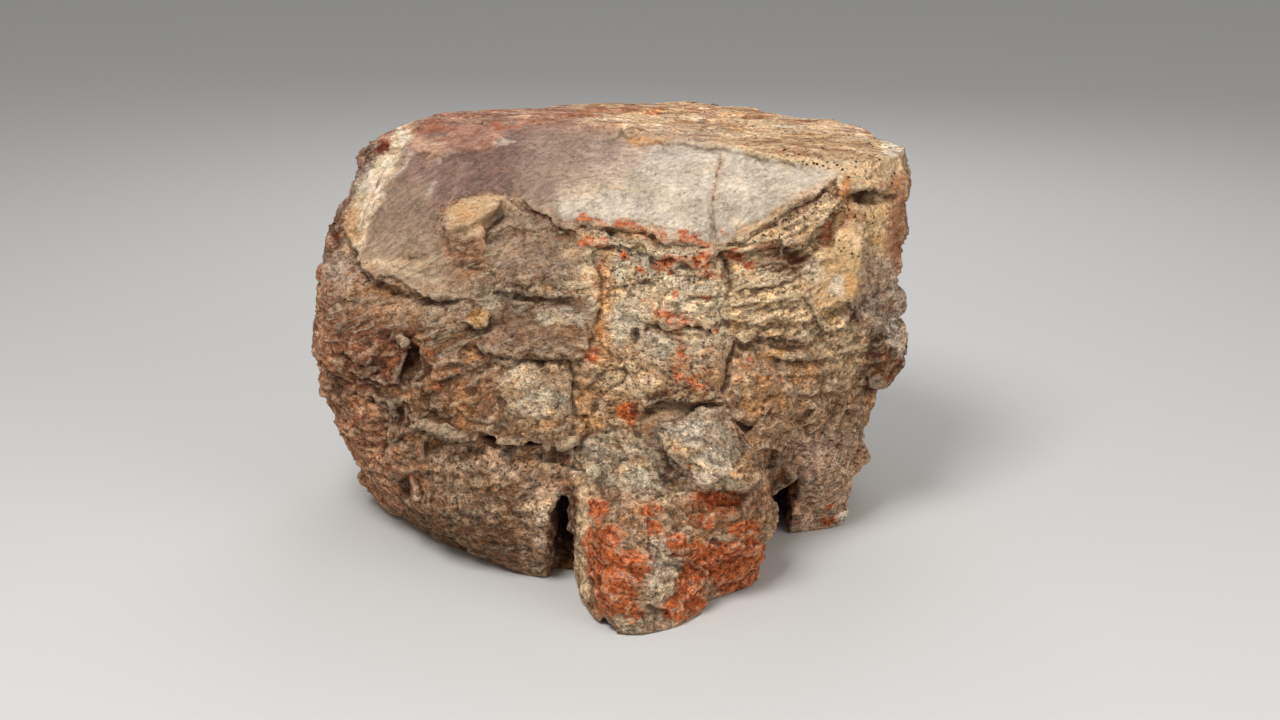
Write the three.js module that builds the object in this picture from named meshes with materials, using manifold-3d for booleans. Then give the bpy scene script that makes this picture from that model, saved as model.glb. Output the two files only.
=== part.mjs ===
// A free-standing boulder of layered sandstone, 1.2 m wide, cut flat where it stands.
// Units are millimetres, +Z is up, -Y is the front, and the origin is the middle of the base.

import * as THREE from "three";
import { ConvexGeometry } from "three/addons/geometries/ConvexGeometry.js";
import { ImprovedNoise } from "three/addons/math/ImprovedNoise.js";
import { SimplifyModifier } from "three/addons/modifiers/SimplifyModifier.js";
import { mergeVertices } from "three/addons/utils/BufferGeometryUtils.js";
import Module from "manifold-3d";

// ---------------------------------------------------------------- driving dimensions

const WIDTH = 1200; // left to right
const TOP = 805; // height of the plateau's rim
const FACES = 9600; // triangles of the finished solid, before the base is cut

// The front is drawn in perspective, as seen from EYE towards AIM. Drawing units run right and down
// from the sheet's top left corner, and one unit is about 2.07 mm at the distance of AIM.
const EYE = new THREE.Vector3(62, -3500, 1487);
const AIM = new THREE.Vector3(62, 0, 350);
const SHEET_CENTRE = { s: 640, t: 360 };
const SHEET_FOCAL = 1777.8; // distance from the eye to the sheet, in drawing units

// ---------------------------------------------------------------- the outlines in plan, bottom to top

// Each outline is a ring of [x, y] points round the upright axis at HEART, at height z.
const HEART = { x: 20, y: 150 };
const OUTLINES = [
  { z: 0, ring: [[497, 85], [480, 260], [345, 450], [110, 520], [-155, 500], [-350, 395], [-475, 210],
    [-482, 35], [-395, -74], [-247, -226], [-154, -306], [-75, -325], [-40, -450], [20, -559],
    [62, -560],
    [160, -498], [204, -408], [274, -364], [300, -224], [310, -130], [395, -90], [492, -43]] },
  { z: 80, ring: [[502, 60], [498, 270], [355, 470], [110, 545], [-170, 525], [-375, 415], [-505, 220],
    [-532, 20], [-438, -120], [-288, -264], [-170, -345], [-85, -350], [-40, -450], [25, -540],
    [75, -540],
    [160, -485], [200, -425], [272, -370], [305, -240], [320, -150], [400, -100], [494, -65]] },
  { z: 160, ring: [[520, 60], [515, 280], [370, 490], [110, 560], [-185, 540], [-400, 430], [-535, 230],
    [-566, 10], [-468, -140], [-320, -280], [-190, -350], [-85, -355], [-20, -450], [30, -500],
    [90, -510],
    [180, -470], [280, -380], [322, -250], [352, -180], [430, -130], [505, -70]] },
  { z: 290, ring: [[530, 70], [530, 290], [385, 500], [110, 575], [-200, 550], [-425, 440], [-558, 240],
    [-590, 0], [-528, -130], [-420, -220], [-311, -269], [-160, -335], [-20, -340], [60, -350],
    [178, -365],
    [280, -320], [350, -250], [430, -170], [500, -80]] },
  { z: 400, ring: [[592, 20], [560, 250], [420, 480], [130, 575], [-200, 550], [-430, 440], [-570, 230],
    [-604, 0], [-566, -110], [-450, -200], [-311, -250], [-160, -290], [0, -305], [215, -306],
    [320, -270],
    [410, -200], [520, -110], [580, -50]] },
  { z: 520, ring: [[575, 30], [550, 250], [400, 460], [120, 545], [-190, 525], [-410, 415], [-548, 220],
    [-584, 0], [-540, -100], [-440, -175], [-311, -225], [-160, -250], [0, -262], [215, -272],
    [330, -250],
    [415, -207], [510, -120], [565, -50]] },
  { z: 640, ring: [[586, 20], [552, 230], [395, 430], [110, 510], [-180, 490], [-385, 390], [-510, 210],
    [-548, 30], [-508, -30], [-430, -90], [-310, -160], [-151, -222], [25, -222], [209, -240],
    [320, -235],
    [400, -205], [505, -120], [572, -50]] },
  { z: 700, ring: [[584, 20], [550, 220], [385, 415], [100, 490], [-175, 470], [-370, 370], [-485, 215],
    [-526, 70], [-478, 10], [-400, -50], [-290, -120], [-150, -175], [25, -190], [209, -212],
    [330, -215],
    [425, -175], [520, -110], [580, -45]] },
  { z: 760, ring: [[592, 30], [555, 215], [375, 400], [95, 470], [-165, 450], [-355, 355], [-458, 240],
    [-500, 110], [-440, 45], [-360, -10], [-260, -60], [-140, -95], [25, -115], [209, -150],
    [330, -170],
    [435, -150], [528, -100], [578, -40]] },
  { z: TOP, ring: [[586, 50], [546, 210], [365, 390], [90, 455], [-155, 430], [-325, 335], [-408, 250],
    [-432, 180], [-355, 110], [-230, 60], [-130, 20], [25, 0], [209, -60], [335, -100], [440, -110],
    [530, -75], [582, -20]] },
];

// ---------------------------------------------------------------- small mathematics

const noiseField = new ImprovedNoise();
const clamp = THREE.MathUtils.clamp;
const smooth = THREE.MathUtils.smoothstep;

function noise(p, wavelength, seed = 0) {
  return noiseField.noise(p.x / wavelength + seed, p.y / wavelength - seed,
    p.z / wavelength + 2 * seed);
}

// A number between 0 and 1 that looks random but is always the same for the same n.
function hash(n) {
  const scrambled = Math.sin(n * 127.1 + 311.7) * 43758.5453;
  return scrambled - Math.floor(scrambled);
}

// A smooth curve through (xs, ys) that never overshoots its points.
function throughPoints(xs, ys, x) {
  const last = xs.length - 1;
  if (x <= xs[0]) return ys[0];
  if (x >= xs[last]) return ys[last];
  let i = 0;
  while (x > xs[i + 1]) i++;
  const slope = (k) => (ys[k + 1] - ys[k]) / (xs[k + 1] - xs[k]);
  const tangent = (k) => {
    if (k === 0 || k === last) return slope(Math.min(k, last - 1));
    const before = slope(k - 1);
    const after = slope(k);
    return before * after <= 0 ? 0 : (2 * before * after) / (before + after);
  };
  const span = xs[i + 1] - xs[i];
  const u = (x - xs[i]) / span;
  const rise = u * u * (3 - 2 * u);
  return (
    ys[i] + (ys[i + 1] - ys[i]) * rise +
    span * u * (1 - u) * ((1 - u) * tangent(i) - u * tangent(i + 1))
  );
}

// ---------------------------------------------------------------- the smooth form

const TURN = 2 * Math.PI;

const levels = OUTLINES.map(({ z, ring }) => {
  const polar = ring
    .map(([x, y]) => [x - HEART.x, y - HEART.y])
    .map(([x, y]) => ({ angle: (Math.atan2(y, x) + TURN) % TURN, radius: Math.hypot(x, y) }))
    .sort((a, b) => a.angle - b.angle);
  const first = polar.slice(0, 2).map((p) => ({ angle: p.angle + TURN, radius: p.radius }));
  const last = polar.slice(-2).map((p) => ({ angle: p.angle - TURN, radius: p.radius }));
  const all = [...last, ...polar, ...first];
  return { z, angles: all.map((p) => p.angle), radii: all.map((p) => p.radius) };
});

function wallRadius(angle, z) {
  const radii = levels.map((level) => throughPoints(level.angles, level.radii, angle));
  return throughPoints(levels.map((level) => level.z), radii, z);
}

// The plateau sags towards the right and rises a little to the left.
function sag(x, z) {
  const nearTop = smooth(z, 0.6 * TOP, TOP);
  return nearTop * (18 * smooth(x, 150, 560) - 12 * smooth(-x, 100, 400));
}

// The plateau's rim is worn down, unevenly, and least at the front.
function rimWear(angle) {
  const around = new THREE.Vector3(300 * Math.cos(angle), 300 * Math.sin(angle), 0);
  const back = smooth(Math.sin(angle), -0.4, 0.4);
  return (5 + 13 * back) * clamp(0.6 + noise(around, 60, 71) + noise(around, 170, 73), 0, 2);
}

const COLUMNS = 380; // round the axis
const BASE_ROWS = 10;
const WALL_ROWS = 165;
const TOP_ROWS = 45;
const ROWS = BASE_ROWS + WALL_ROWS + TOP_ROWS;
const BASE_DROP = 14; // the underside reaches this far below the floor before it is cut

function formPoint(angle, row) {
  let z = clamp((row - BASE_ROWS) / WALL_ROWS, 0, 1) * TOP;
  let radius = wallRadius(angle, z);
  z -= rimWear(angle) * smooth(z, TOP - 90, TOP);
  if (row < BASE_ROWS) {
    radius *= row / BASE_ROWS;
    z = -BASE_DROP;
  } else if (row > BASE_ROWS + WALL_ROWS) {
    const inward = (row - BASE_ROWS - WALL_ROWS) / TOP_ROWS;
    radius *= 1 - inward;
    z += rimWear(angle) * smooth(inward, 0, 0.16) + 8 * smooth(inward, 0, 0.5);
  }
  const x = HEART.x + radius * Math.cos(angle);
  return new THREE.Vector3(x, HEART.y + radius * Math.sin(angle), z - sag(x, z));
}

// A sphere's grid laid over the form: its rows climb from the middle of the base to the plateau's middle.
function smoothForm() {
  const skin = new THREE.SphereGeometry(1, COLUMNS, ROWS);
  const { position, uv } = skin.attributes;
  for (let i = 0; i < position.count; i++) {
    const row = Math.round(uv.getY(i) * ROWS);
    const column = Math.round(uv.getX(i) * COLUMNS) % COLUMNS;
    const p = formPoint((column / COLUMNS) * TURN, row);
    if (row === 0 || row === ROWS) p.setX(HEART.x).setY(HEART.y);
    position.setXYZ(i, p.x, p.y, p.z);
  }
  return welded(skin);
}

function welded(geometry) {
  geometry.deleteAttribute("uv");
  geometry.deleteAttribute("normal");
  const merged = mergeVertices(geometry, 1e-3);
  merged.computeVertexNormals();
  return merged;
}

// ---------------------------------------------------------------- the drawing of the front

const sightAxes = new THREE.Matrix4().lookAt(EYE, AIM, new THREE.Vector3(0, 0, 1));
const toSight = sightAxes.clone().invert();

// Where a point of the rock lies on the drawing.
function drawn(p) {
  const q = p.clone().sub(EYE).applyMatrix4(toSight);
  return {
    s: SHEET_CENTRE.s + (SHEET_FOCAL * q.x) / -q.z,
    t: SHEET_CENTRE.t - (SHEET_FOCAL * q.y) / -q.z,
  };
}

// The point at depth y behind (or, if negative, in front of) the axis that is drawn at (s, t).
function placed([s, t, y]) {
  const ray = new THREE.Vector3(s - SHEET_CENTRE.s, SHEET_CENTRE.t - t,
    -SHEET_FOCAL).applyMatrix4(sightAxes);
  return EYE.clone().addScaledVector(ray, (y - EYE.y) / ray.y);
}

// Ledges: the rock stands `out` mm proud along the line and fades above it, over `rise` drawing units,
// and is cut back `under` mm below it, over `fall` units.
const LEDGES = [
  { name: "slab_lip_left", out: 20, rise: 26, under: 16, fall: 12,
    line: [[338, 226], [348, 240], [357, 250], [362, 266], [370, 279], [388, 284], [402, 291],
      [418, 296], [440, 297], [462, 297]] },
  { name: "knob_lip", out: 6, rise: 10, under: 22, fall: 13,
    line: [[436, 226], [446, 229], [462, 226], [472, 233], [484, 228], [494, 218], [506, 204]] },
  { name: "lip_step", out: 12, rise: 14, under: 16, fall: 9,
    line: [[518, 196], [526, 203], [534, 211], [545, 216], [556, 225], [566, 231], [577, 236],
      [580, 244]] },
  { name: "lower_step", out: 6, rise: 10, under: 8, fall: 8,
    line: [[484, 240], [496, 234], [508, 228], [522, 228], [534, 230], [546, 227], [560, 232]] },
  { name: "slab_lip_middle", out: 15, rise: 15, under: 14, fall: 9,
    line: [[572, 226], [590, 226], [604, 229], [620, 230], [636, 230], [650, 231], [660, 240],
      [682, 241], [700, 243], [716, 247]] },
  { name: "slab_lip_right", out: 14, rise: 15, under: 16, fall: 9,
    line: [[718, 246], [735, 241], [745, 239], [752, 231], [768, 224], [778, 216], [790, 210],
      [801, 202], [815, 196], [828, 188], [840, 176]] },
  { name: "second_bed_left", out: 9, rise: 8, under: 9, fall: 7,
    line: [[584, 246], [600, 246], [612, 246], [622, 249], [636, 246], [646, 249], [653, 258],
      [668, 257], [681, 259], [691, 267], [704, 270], [716, 262]] },
  { name: "second_bed_right", out: 16, rise: 10, under: 30, fall: 22,
    line: [[720, 252], [734, 253], [745, 251], [757, 248], [768, 245], [778, 241], [786, 243],
      [793, 251], [800, 247], [806, 240], [815, 230], [825, 218], [835, 208], [843, 199]] },
  { name: "corner_overhang", out: 10, rise: 18, under: 30, fall: 9,
    line: [[838, 196], [846, 193], [856, 189], [868, 189], [880, 191], [894, 188]] },
  { name: "third_bed", out: 10, rise: 9, under: 8, fall: 6,
    line: [[731, 293], [744, 290], [758, 285], [775, 283], [790, 280], [802, 270]] },
  { name: "fourth_bed", out: 12, rise: 8, under: 10, fall: 6,
    line: [[716, 310], [735, 309], [746, 305], [762, 305], [783, 304], [792, 300], [810, 300]] },
  { name: "fifth_bed", out: 12, rise: 7, under: 11, fall: 6,
    line: [[720, 322], [740, 325], [757, 326], [771, 324], [782, 321], [792, 325], [806, 322],
      [818, 318]] },
  { name: "sixth_bed", out: 14, rise: 8, under: 16, fall: 11,
    line: [[732, 337], [745, 345], [753, 343], [760, 339], [771, 338], [782, 336], [792, 343],
      [806, 341], [816, 345]] },
  { name: "seventh_bed", out: 7, rise: 7, under: 9, fall: 8,
    line: [[757, 356], [776, 359], [800, 359], [820, 360], [840, 356], [846, 351], [854, 353],
      [862, 345]] },
  { name: "swept_bed", out: 10, rise: 7, under: 9, fall: 6,
    line: [[817, 318], [822, 329], [830, 332], [841, 326], [851, 312], [860, 300]] },
  { name: "flake_edge", out: 16, rise: 16, under: 12, fall: 9,
    line: [[816, 312], [826, 313], [838, 306], [848, 298], [853, 310], [858, 290], [862, 262],
      [865, 240], [862, 224]] },
  { name: "small_beds", out: 12, rise: 10, under: 11, fall: 8,
    line: [[636, 336], [642, 326], [650, 320], [664, 322], [670, 328], [684, 323], [692, 321],
      [701, 323], [709, 331], [718, 335]] },
  { name: "hanging_block", out: 14, rise: 20, under: 16, fall: 11,
    line: [[470, 346], [500, 354], [530, 358], [560, 358], [576, 358], [588, 350], [594, 334]] },
  { name: "lobe_brow", out: 28, rise: 28, under: 46, fall: 20,
    line: [[408, 424], [422, 421], [432, 425], [448, 430], [464, 431], [482, 436], [504, 439],
      [522, 439], [532, 442], [552, 445], [570, 442], [582, 432]] },
  { name: "pebble_shadow", out: 12, rise: 8, under: 14, fall: 9,
    line: [[462, 320], [470, 326], [480, 328], [487, 320], [488, 309]] },
  { name: "left_flake", out: 16, rise: 14, under: 18, fall: 10,
    line: [[362, 398], [388, 404], [394, 420], [386, 432], [391, 441], [386, 458], [380, 466]] },
  { name: "left_shoulder", out: 14, rise: 14, under: 20, fall: 10,
    line: [[398, 384], [398, 374], [404, 362], [410, 350], [404, 338], [396, 330]] },
  { name: "foot_crack", out: 5, rise: 8, under: 8, fall: 6,
    line: [[640, 536], [652, 546], [666, 553], [680, 554], [694, 549]] },
  { name: "chunk_recess", out: 14, rise: 12, under: 26, fall: 13,
    line: [[640, 418], [652, 404], [664, 400], [684, 402], [704, 404], [720, 404], [730, 414],
      [742, 424], [760, 428]] },
  { name: "band_edge", out: 9, rise: 18, under: 7, fall: 9,
    line: [[408, 140], [400, 152], [390, 165], [382, 178], [371, 199], [364, 214], [361, 230],
      [358, 246]] },
  { name: "veneer_edge_left", out: 6, rise: 12, under: 3, fall: 6,
    line: [[404, 148], [416, 151], [430, 150], [434, 156], [444, 157], [458, 153], [472, 146],
      [486, 144], [500, 140], [516, 132], [538, 124]] },
  { name: "veneer_edge_right", out: 6, rise: 12, under: 3, fall: 6,
    line: [[600, 143], [614, 135], [626, 131], [636, 137], [660, 142], [682, 143], [700, 147],
      [722, 146], [746, 152], [764, 158], [800, 164]] },
];

// Grooves: joints, cracks and hollows, `depth` mm deep and `width` drawing units to either side.
const GROOVES = [
  { name: "long_joint_above", depth: 14, width: 2.2, line: [[720, 144], [719, 160], [716, 186],
    [712, 212], [714, 232], [719, 248]] },
  { name: "long_joint_below", depth: 26, width: 4, line: [[719, 248], [728, 264], [729, 280],
    [724, 296]] },
  { name: "long_joint_foot", depth: 16, width: 3, line: [[733, 332], [735, 346], [730, 364],
    [727, 382], [723, 398]] },
  { name: "short_joint", depth: 16, width: 3, line: [[592, 256], [597, 268], [603, 283],
    [603, 300], [598, 318], [594, 336], [588, 350]] },
  { name: "lobe_joint", depth: 22, width: 4, line: [[568, 362], [573, 380], [574, 400],
    [573, 424], [576, 446]] },
  { name: "strip_recess", depth: 18, width: 7, line: [[486, 294], [504, 294], [522, 297],
    [546, 303], [568, 306], [590, 309]] },
  { name: "slab_notch", depth: 14, width: 5, line: [[462, 262], [476, 263], [488, 266], [500, 274]] },
  { name: "left_hollow", depth: 26, width: 7, line: [[408, 340], [411, 352], [409, 364], [403, 376]] },
  { name: "flake_hollow", depth: 26, width: 8, line: [[398, 400], [402, 416], [399, 432]] },
  { name: "shoulder_hollow", depth: 18, width: 6, line: [[402, 470], [404, 486], [412, 500]] },
  { name: "red_hollow", depth: 14, width: 6, line: [[342, 228], [350, 240], [357, 250]] },
  { name: "eye_pit", depth: 18, width: 4, line: [[635, 327], [634, 340]] },
  { name: "foot_cleft", depth: 12, width: 4, line: [[690, 560], [704, 568], [712, 578]] },
  { name: "chunk_pit", depth: 18, width: 9, line: [[660, 460], [672, 476], [684, 486]] },
];

// Swellings: rounded lobes, `out` mm proud, with half-widths along and across in drawing units.
const SWELLINGS = [
  { name: "lobe", at: [470, 514], out: 26, half: [66, 40] },
  { name: "lobe_toe", at: [546, 520], out: 24, half: [20, 52] },
  { name: "left_shoulder", at: [345, 350], out: 14, half: [34, 30] },
  { name: "left_beds", at: [332, 298], out: 8, half: [24, 14] },
  { name: "wart_block", at: [538, 400], out: 22, half: [36, 36] },
  { name: "grey_block", at: [545, 332], out: 14, half: [46, 20] },
  { name: "middle_beds", at: [650, 290], out: 8, half: [44, 34] },
  { name: "right_beds", at: [782, 312], out: 10, half: [50, 26] },
  { name: "foot_ridge", at: [628, 560], out: 16, half: [34, 60] },
  { name: "foot_heel", at: [735, 560], out: 14, half: [34, 34] },
  { name: "right_lobe", at: [826, 470], out: 12, half: [26, 44] },
];

function prepared(stroke) {
  const points = stroke.line.map(([s, t]) => new THREE.Vector2(s, t));
  const lengths = points.slice(1).map((p, i) => p.distanceTo(points[i]));
  return { ...stroke, points, lengths, total: lengths.reduce((a, b) => a + b, 0) };
}

const ledges = LEDGES.map(prepared);
const grooves = GROOVES.map(prepared);

// The distance from (s, t) to a stroke, positive above or left of it, and how near its ends that is.
function alongStroke(stroke, s, t) {
  let best = { distance: Infinity, side: 1, along: 0 };
  let walked = 0;
  stroke.lengths.forEach((length, i) => {
    const a = stroke.points[i];
    const b = stroke.points[i + 1];
    const dx = (b.x - a.x) / length;
    const dy = (b.y - a.y) / length;
    const reach = clamp((s - a.x) * dx + (t - a.y) * dy, 0, length);
    const distance = Math.hypot(s - a.x - reach * dx, t - a.y - reach * dy);
    if (distance < best.distance) {
      const side = (s - a.x) * dy - (t - a.y) * dx > 0 ? 1 : -1;
      best = { distance, side, along: walked + reach };
    }
    walked += length;
  });
  const taper = Math.min(14, stroke.total / 3);
  const ends = smooth(best.along, 0, taper) * smooth(stroke.total - best.along, 0, taper);
  return { ...best, ends };
}

function frontRelief({ s, t }) {
  let height = 0;
  for (const ledge of ledges) {
    const { distance, side, ends } = alongStroke(ledge, s, t);
    const share = side > 0 ? Math.exp(-distance / ledge.rise) : Math.exp(-distance / ledge.fall);
    height += side > 0 ? ends * ledge.out * share : -ends * ledge.under * share;
  }
  for (const groove of grooves) {
    const { distance, ends } = alongStroke(groove, s, t);
    height -= ends * groove.depth * Math.exp(-((distance / groove.width) ** 2));
  }
  for (const { at, out, half } of SWELLINGS) {
    const far = Math.hypot((s - at[0]) / half[0], (t - at[1]) / half[1]);
    height += out * (1 - smooth(far, 0.35, 1.25));
  }
  return height;
}

// ---------------------------------------------------------------- relief all round

const BED = 56; // mean thickness of the beds on the sides and back
const BED_STEP = 28; // how differently the beds stand out, bed by bed
const BED_PATCH = 26; // and from place to place along one bed
const BED_LIP = 12; // how far a bed's foot stands out beyond its top
const BED_UNDERCUT = 8; // and how far it is cut back just below

// Beds round the sides and back: each stands out by its own amount and has a small lip at its foot.
// They are strong in some places and fade in others.
function beddingRelief(p) {
  const dip = p.z + 0.1 * p.x - 0.06 * p.y + 30 * noise(p, 420, 3) + 11 * noise(p, 130, 5);
  const count = dip / BED + 0.36 * Math.sin(dip / 43);
  const bed = Math.floor(count);
  const up = count - bed;
  const patch = noise(p, 230, bed + 0.5);
  const strength = 0.25 + 0.75 * smooth(noise(p, 330, 61), -0.3, 0.25);
  const step = BED_STEP * (hash(bed) - 0.5) + BED_PATCH * patch;
  const lip = BED_LIP * (1 - up) * (0.5 + patch) - BED_UNDERCUT * smooth(up, 0.8, 1);
  return strength * (step + lip);
}

// The plateau follows thin beds, and steps down where one of them has broken away.
const SHEET_STEP = 8; // thickness of the plateau's beds
const SHEETS = 3; // how many of them break away, up or down

function plateauRelief(p) {
  const stretched = new THREE.Vector3(0.55 * p.x, p.y, 0);
  const level = SHEETS * noise(stretched, 210, 31) + 0.5 * noise(stretched, 60, 37);
  const whole = Math.floor(level);
  return SHEET_STEP * (whole + smooth(level - whole, 0, 0.22)) + 1.5 * noise(p, 40, 43);
}

// Broken faces: the rock is split into cells, and each cell's face leans its own way.
function brokenRelief(p, { size, lean }) {
  const cell = new THREE.Vector3();
  let nearest = Infinity;
  let height = 0;
  for (let n = 0; n < 27; n++) {
    const step = [(n % 3) - 1, (Math.floor(n / 3) % 3) - 1, Math.floor(n / 9) - 1];
    cell.set(
      Math.floor(p.x / size) + step[0],
      Math.floor(p.y / size) + step[1],
      Math.floor(p.z / size) + step[2],
    );
    const key = cell.x * 17 + cell.y * 59 + cell.z * 131;
    const away = new THREE.Vector3(
      p.x / size - cell.x - hash(key),
      p.y / size - cell.y - hash(key + 0.3),
      p.z / size - cell.z - hash(key + 0.7),
    );
    if (away.length() < nearest) {
      nearest = away.length();
      const tilt = new THREE.Vector3(hash(key + 1) - 0.5, hash(key + 2) - 0.5, hash(key + 3) - 0.5);
      height = lean * (away.dot(tilt) * 2 + hash(key + 4) - 0.5);
    }
  }
  return height;
}

// Lumps of three sizes, each with its height and wavelength in mm.
const LUMPS = [
  { height: 16, wavelength: 170, seed: 11 },
  { height: 9, wavelength: 78, seed: 17 },
  { height: 4, wavelength: 36, seed: 23 },
];

function roughness(p) {
  return LUMPS.reduce((sum, lump) => sum + lump.height * noise(p, lump.wavelength, lump.seed), 0);
}

const SMALL_CELL = { size: 120, lean: 15 }; // broken faces all over
const LARGE_CELL = { size: 290, lean: 34 }; // and the back's great flat faces
const SLAB_FOOT = 600; // above this height the front is the smooth top slab

// How far the surface at p, with smooth normal n, stands off the smooth form.
function relief(p, n) {
  const facing = n.dot(EYE.clone().sub(p).normalize());
  const front = smooth(facing, 0.02, 0.35);
  const back = smooth(-facing, 0.1, 0.6);
  const onSlab = front * smooth(p.z + 0.25 * p.x - 40 * noise(p, 300, 7), SLAB_FOOT, SLAB_FOOT + 60);
  const onTop = smooth(n.z, 0.75, 0.95);
  const under = smooth(-n.z, 0.3, 0.8);
  const rough = 1 - 0.8 * Math.max(onSlab, onTop);
  const beds = beddingRelief(p) * (1 - 0.85 * front);
  const broken = brokenRelief(p, SMALL_CELL) * (1 - 0.35 * front) + brokenRelief(p, LARGE_CELL) * back;
  const walls = (beds + broken) * (1 - onTop) + rough * roughness(p);
  const height = front * frontRelief(drawn(p)) + walls + plateauRelief(p) * onTop;
  const aboveFloor = 0.25 + 0.75 * smooth(p.z, 0, 70);
  return aboveFloor * THREE.MathUtils.lerp(height, 26 * noise(p, 190, 41), under);
}

function reliefForm() {
  const form = smoothForm();
  const { position, normal } = form.attributes;
  const p = new THREE.Vector3();
  const n = new THREE.Vector3();
  for (let i = 0; i < position.count; i++) {
    p.fromBufferAttribute(position, i);
    n.fromBufferAttribute(normal, i);
    p.addScaledVector(n, relief(p, n));
    position.setXYZ(i, p.x, p.y, p.z);
  }
  return form;
}

// ---------------------------------------------------------------- blocks and gaps

// Each block is the hull of points given as [s, t, y]: where they are drawn, and their depth in mm.
const BLOCKS = {
  knob: [[441, 216, -148], [450, 204, -120], [478, 196, -120], [503, 196, -150], [500, 207, -195],
    [480, 219, -212], [460, 227, -212], [443, 226, -190], [470, 240, -60], [470, 190, -40]],
  knob_stem: [[446, 226, -185], [470, 224, -200], [484, 226, -190], [484, 250, -200], [470, 262, -190],
    [450, 252, -185], [466, 240, -60]],
  chunk: [[660, 436, -385], [684, 418, -385], [704, 407, -382], [720, 408, -376], [732, 428, -400],
    [722, 442, -446], [736, 486, -475], [762, 490, -420], [700, 486, -462], [682, 470, -442],
    [664, 450, -412], [757, 452, -402], [710, 450, -200]],
  flake: [[820, 284, -196], [826, 262, -200], [838, 230, -196], [850, 214, -180], [864, 226, -180],
    [862, 262, -200], [855, 300, -205], [842, 294, -210], [822, 308, -205], [845, 260, -80]],
  pebble: [[470, 312, -225], [480, 306, -225], [488, 314, -225], [486, 324, -250], [477, 327, -250],
    [472, 318, -255], [480, 316, -150]],
  right_beak: [[880, 322, -70], [909, 338, -60], [902, 352, -80], [904, 366, -60], [890, 388, -70],
    [872, 388, -110], [860, 360, -130], [870, 350, 60]],
  low_beak: [[850, 430, -60], [866, 440, -50], [873, 460, -40], [862, 474, -50], [846, 480, -80],
    [850, 450, 80]],
  left_beak: [[326, 258, -50], [313, 268, -20], [314, 278, -10], [320, 284, -40], [336, 290, -60],
    [340, 262, 60]],
  red_beak: [[342, 214, 0], [331, 230, 10], [335, 240, 0], [346, 236, -30], [350, 224, 90]],
};

// Each gap is cut out: the hull of points given as [x, y, z] in mm.
const GAPS = {
  slot: [[-140, -480, -30], [-62, -480, -30], [-64, -300, -30], [-118, -296, -30],
    [-116, -480, 170], [-66, -480, 210], [-72, -190, 120], [-98, -190, 100], [-76, -262, 200]],
  cave: [[322, -420, -30], [368, -420, -30], [368, -60, -30], [352, 160, -30], [324, 160, -30],
    [334, -420, 120], [384, -420, 150], [386, -60, 150], [366, 160, 100], [334, 160, 90],
    [330, -80, 130]],
  arch: [[-14, -700, -30], [20, -700, -30], [-10, -458, -30], [14, -458, -30],
    [-12, -700, 34], [18, -700, 34], [-8, -458, 16], [12, -458, 16]],
  corner_slot: [[440, -230, 726], [600, -150, 724], [440, -230, 696], [600, -150, 688],
    [452, -122, 714], [562, -24, 710]],
  notch: [[548, -250, 292], [548, 160, 292], [700, -250, 320], [700, 160, 320],
    [520, -250, 212], [520, 160, 212], [700, -250, 190], [700, 160, 190]],
};

// ---------------------------------------------------------------- joining, cutting and thinning

const wasm = await Module();
wasm.setup();

function solid(geometry) {
  const bare = welded(geometry.clone());
  return new wasm.Manifold(
    new wasm.Mesh({
      numProp: 3,
      vertProperties: bare.attributes.position.array,
      triVerts: new Uint32Array(bare.index.array),
    }),
  );
}

function surface(body) {
  const mesh = body.getMesh();
  const geometry = new THREE.BufferGeometry();
  geometry.setAttribute("position", new THREE.BufferAttribute(mesh.vertProperties, 3));
  geometry.setIndex(new THREE.BufferAttribute(mesh.triVerts, 1));
  return geometry;
}

function hull(points) {
  return solid(new ConvexGeometry(points));
}

function largestPiece(body) {
  return body.decompose().reduce((a, b) => (a.volume() > b.volume() ? a : b));
}

async function boulder() {
  let body = solid(reliefForm());
  for (const points of Object.values(BLOCKS)) body = body.add(hull(points.map(placed)));
  for (const points of Object.values(GAPS)) {
    body = body.subtract(hull(points.map((p) => new THREE.Vector3(...p))));
  }
  const fine = surface(largestPiece(body));
  const spare = fine.attributes.position.count - FACES / 2;
  const plain = await new SimplifyModifier().modify(fine, spare);
  const floor = new THREE.BoxGeometry(3 * WIDTH, 3 * WIDTH, 200).translate(0, 0, -100);
  return surface(largestPiece(solid(plain).subtract(solid(floor))));
}

// Brings the width to WIDTH and the middle of the base to the origin.
function settled(geometry) {
  geometry.computeBoundingBox();
  const { min, max } = geometry.boundingBox;
  const scale = WIDTH / (max.x - min.x);
  geometry.translate(-(min.x + max.x) / 2, -(min.y + max.y) / 2, -min.z);
  return geometry.scale(scale, scale, scale);
}

// ---------------------------------------------------------------- the part

const sandstone = new THREE.MeshStandardMaterial({
  name: "sandstone",
  color: new THREE.Color(0.55, 0.43, 0.33),
  roughness: 0.9,
  metalness: 0,
});

const rock = new THREE.Mesh(settled(await boulder()), sandstone);
rock.name = "sandstone_rock";

const part = new THREE.Group();
part.add(rock);
export default part;
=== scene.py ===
# Looks for the layered sandstone boulder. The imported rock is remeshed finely, ledges, cracks, thin beds
# and grain are carved into it, and its colours are painted region by region and finished by a procedural
# material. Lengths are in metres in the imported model's own frame, and depths of relief in mm.

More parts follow.
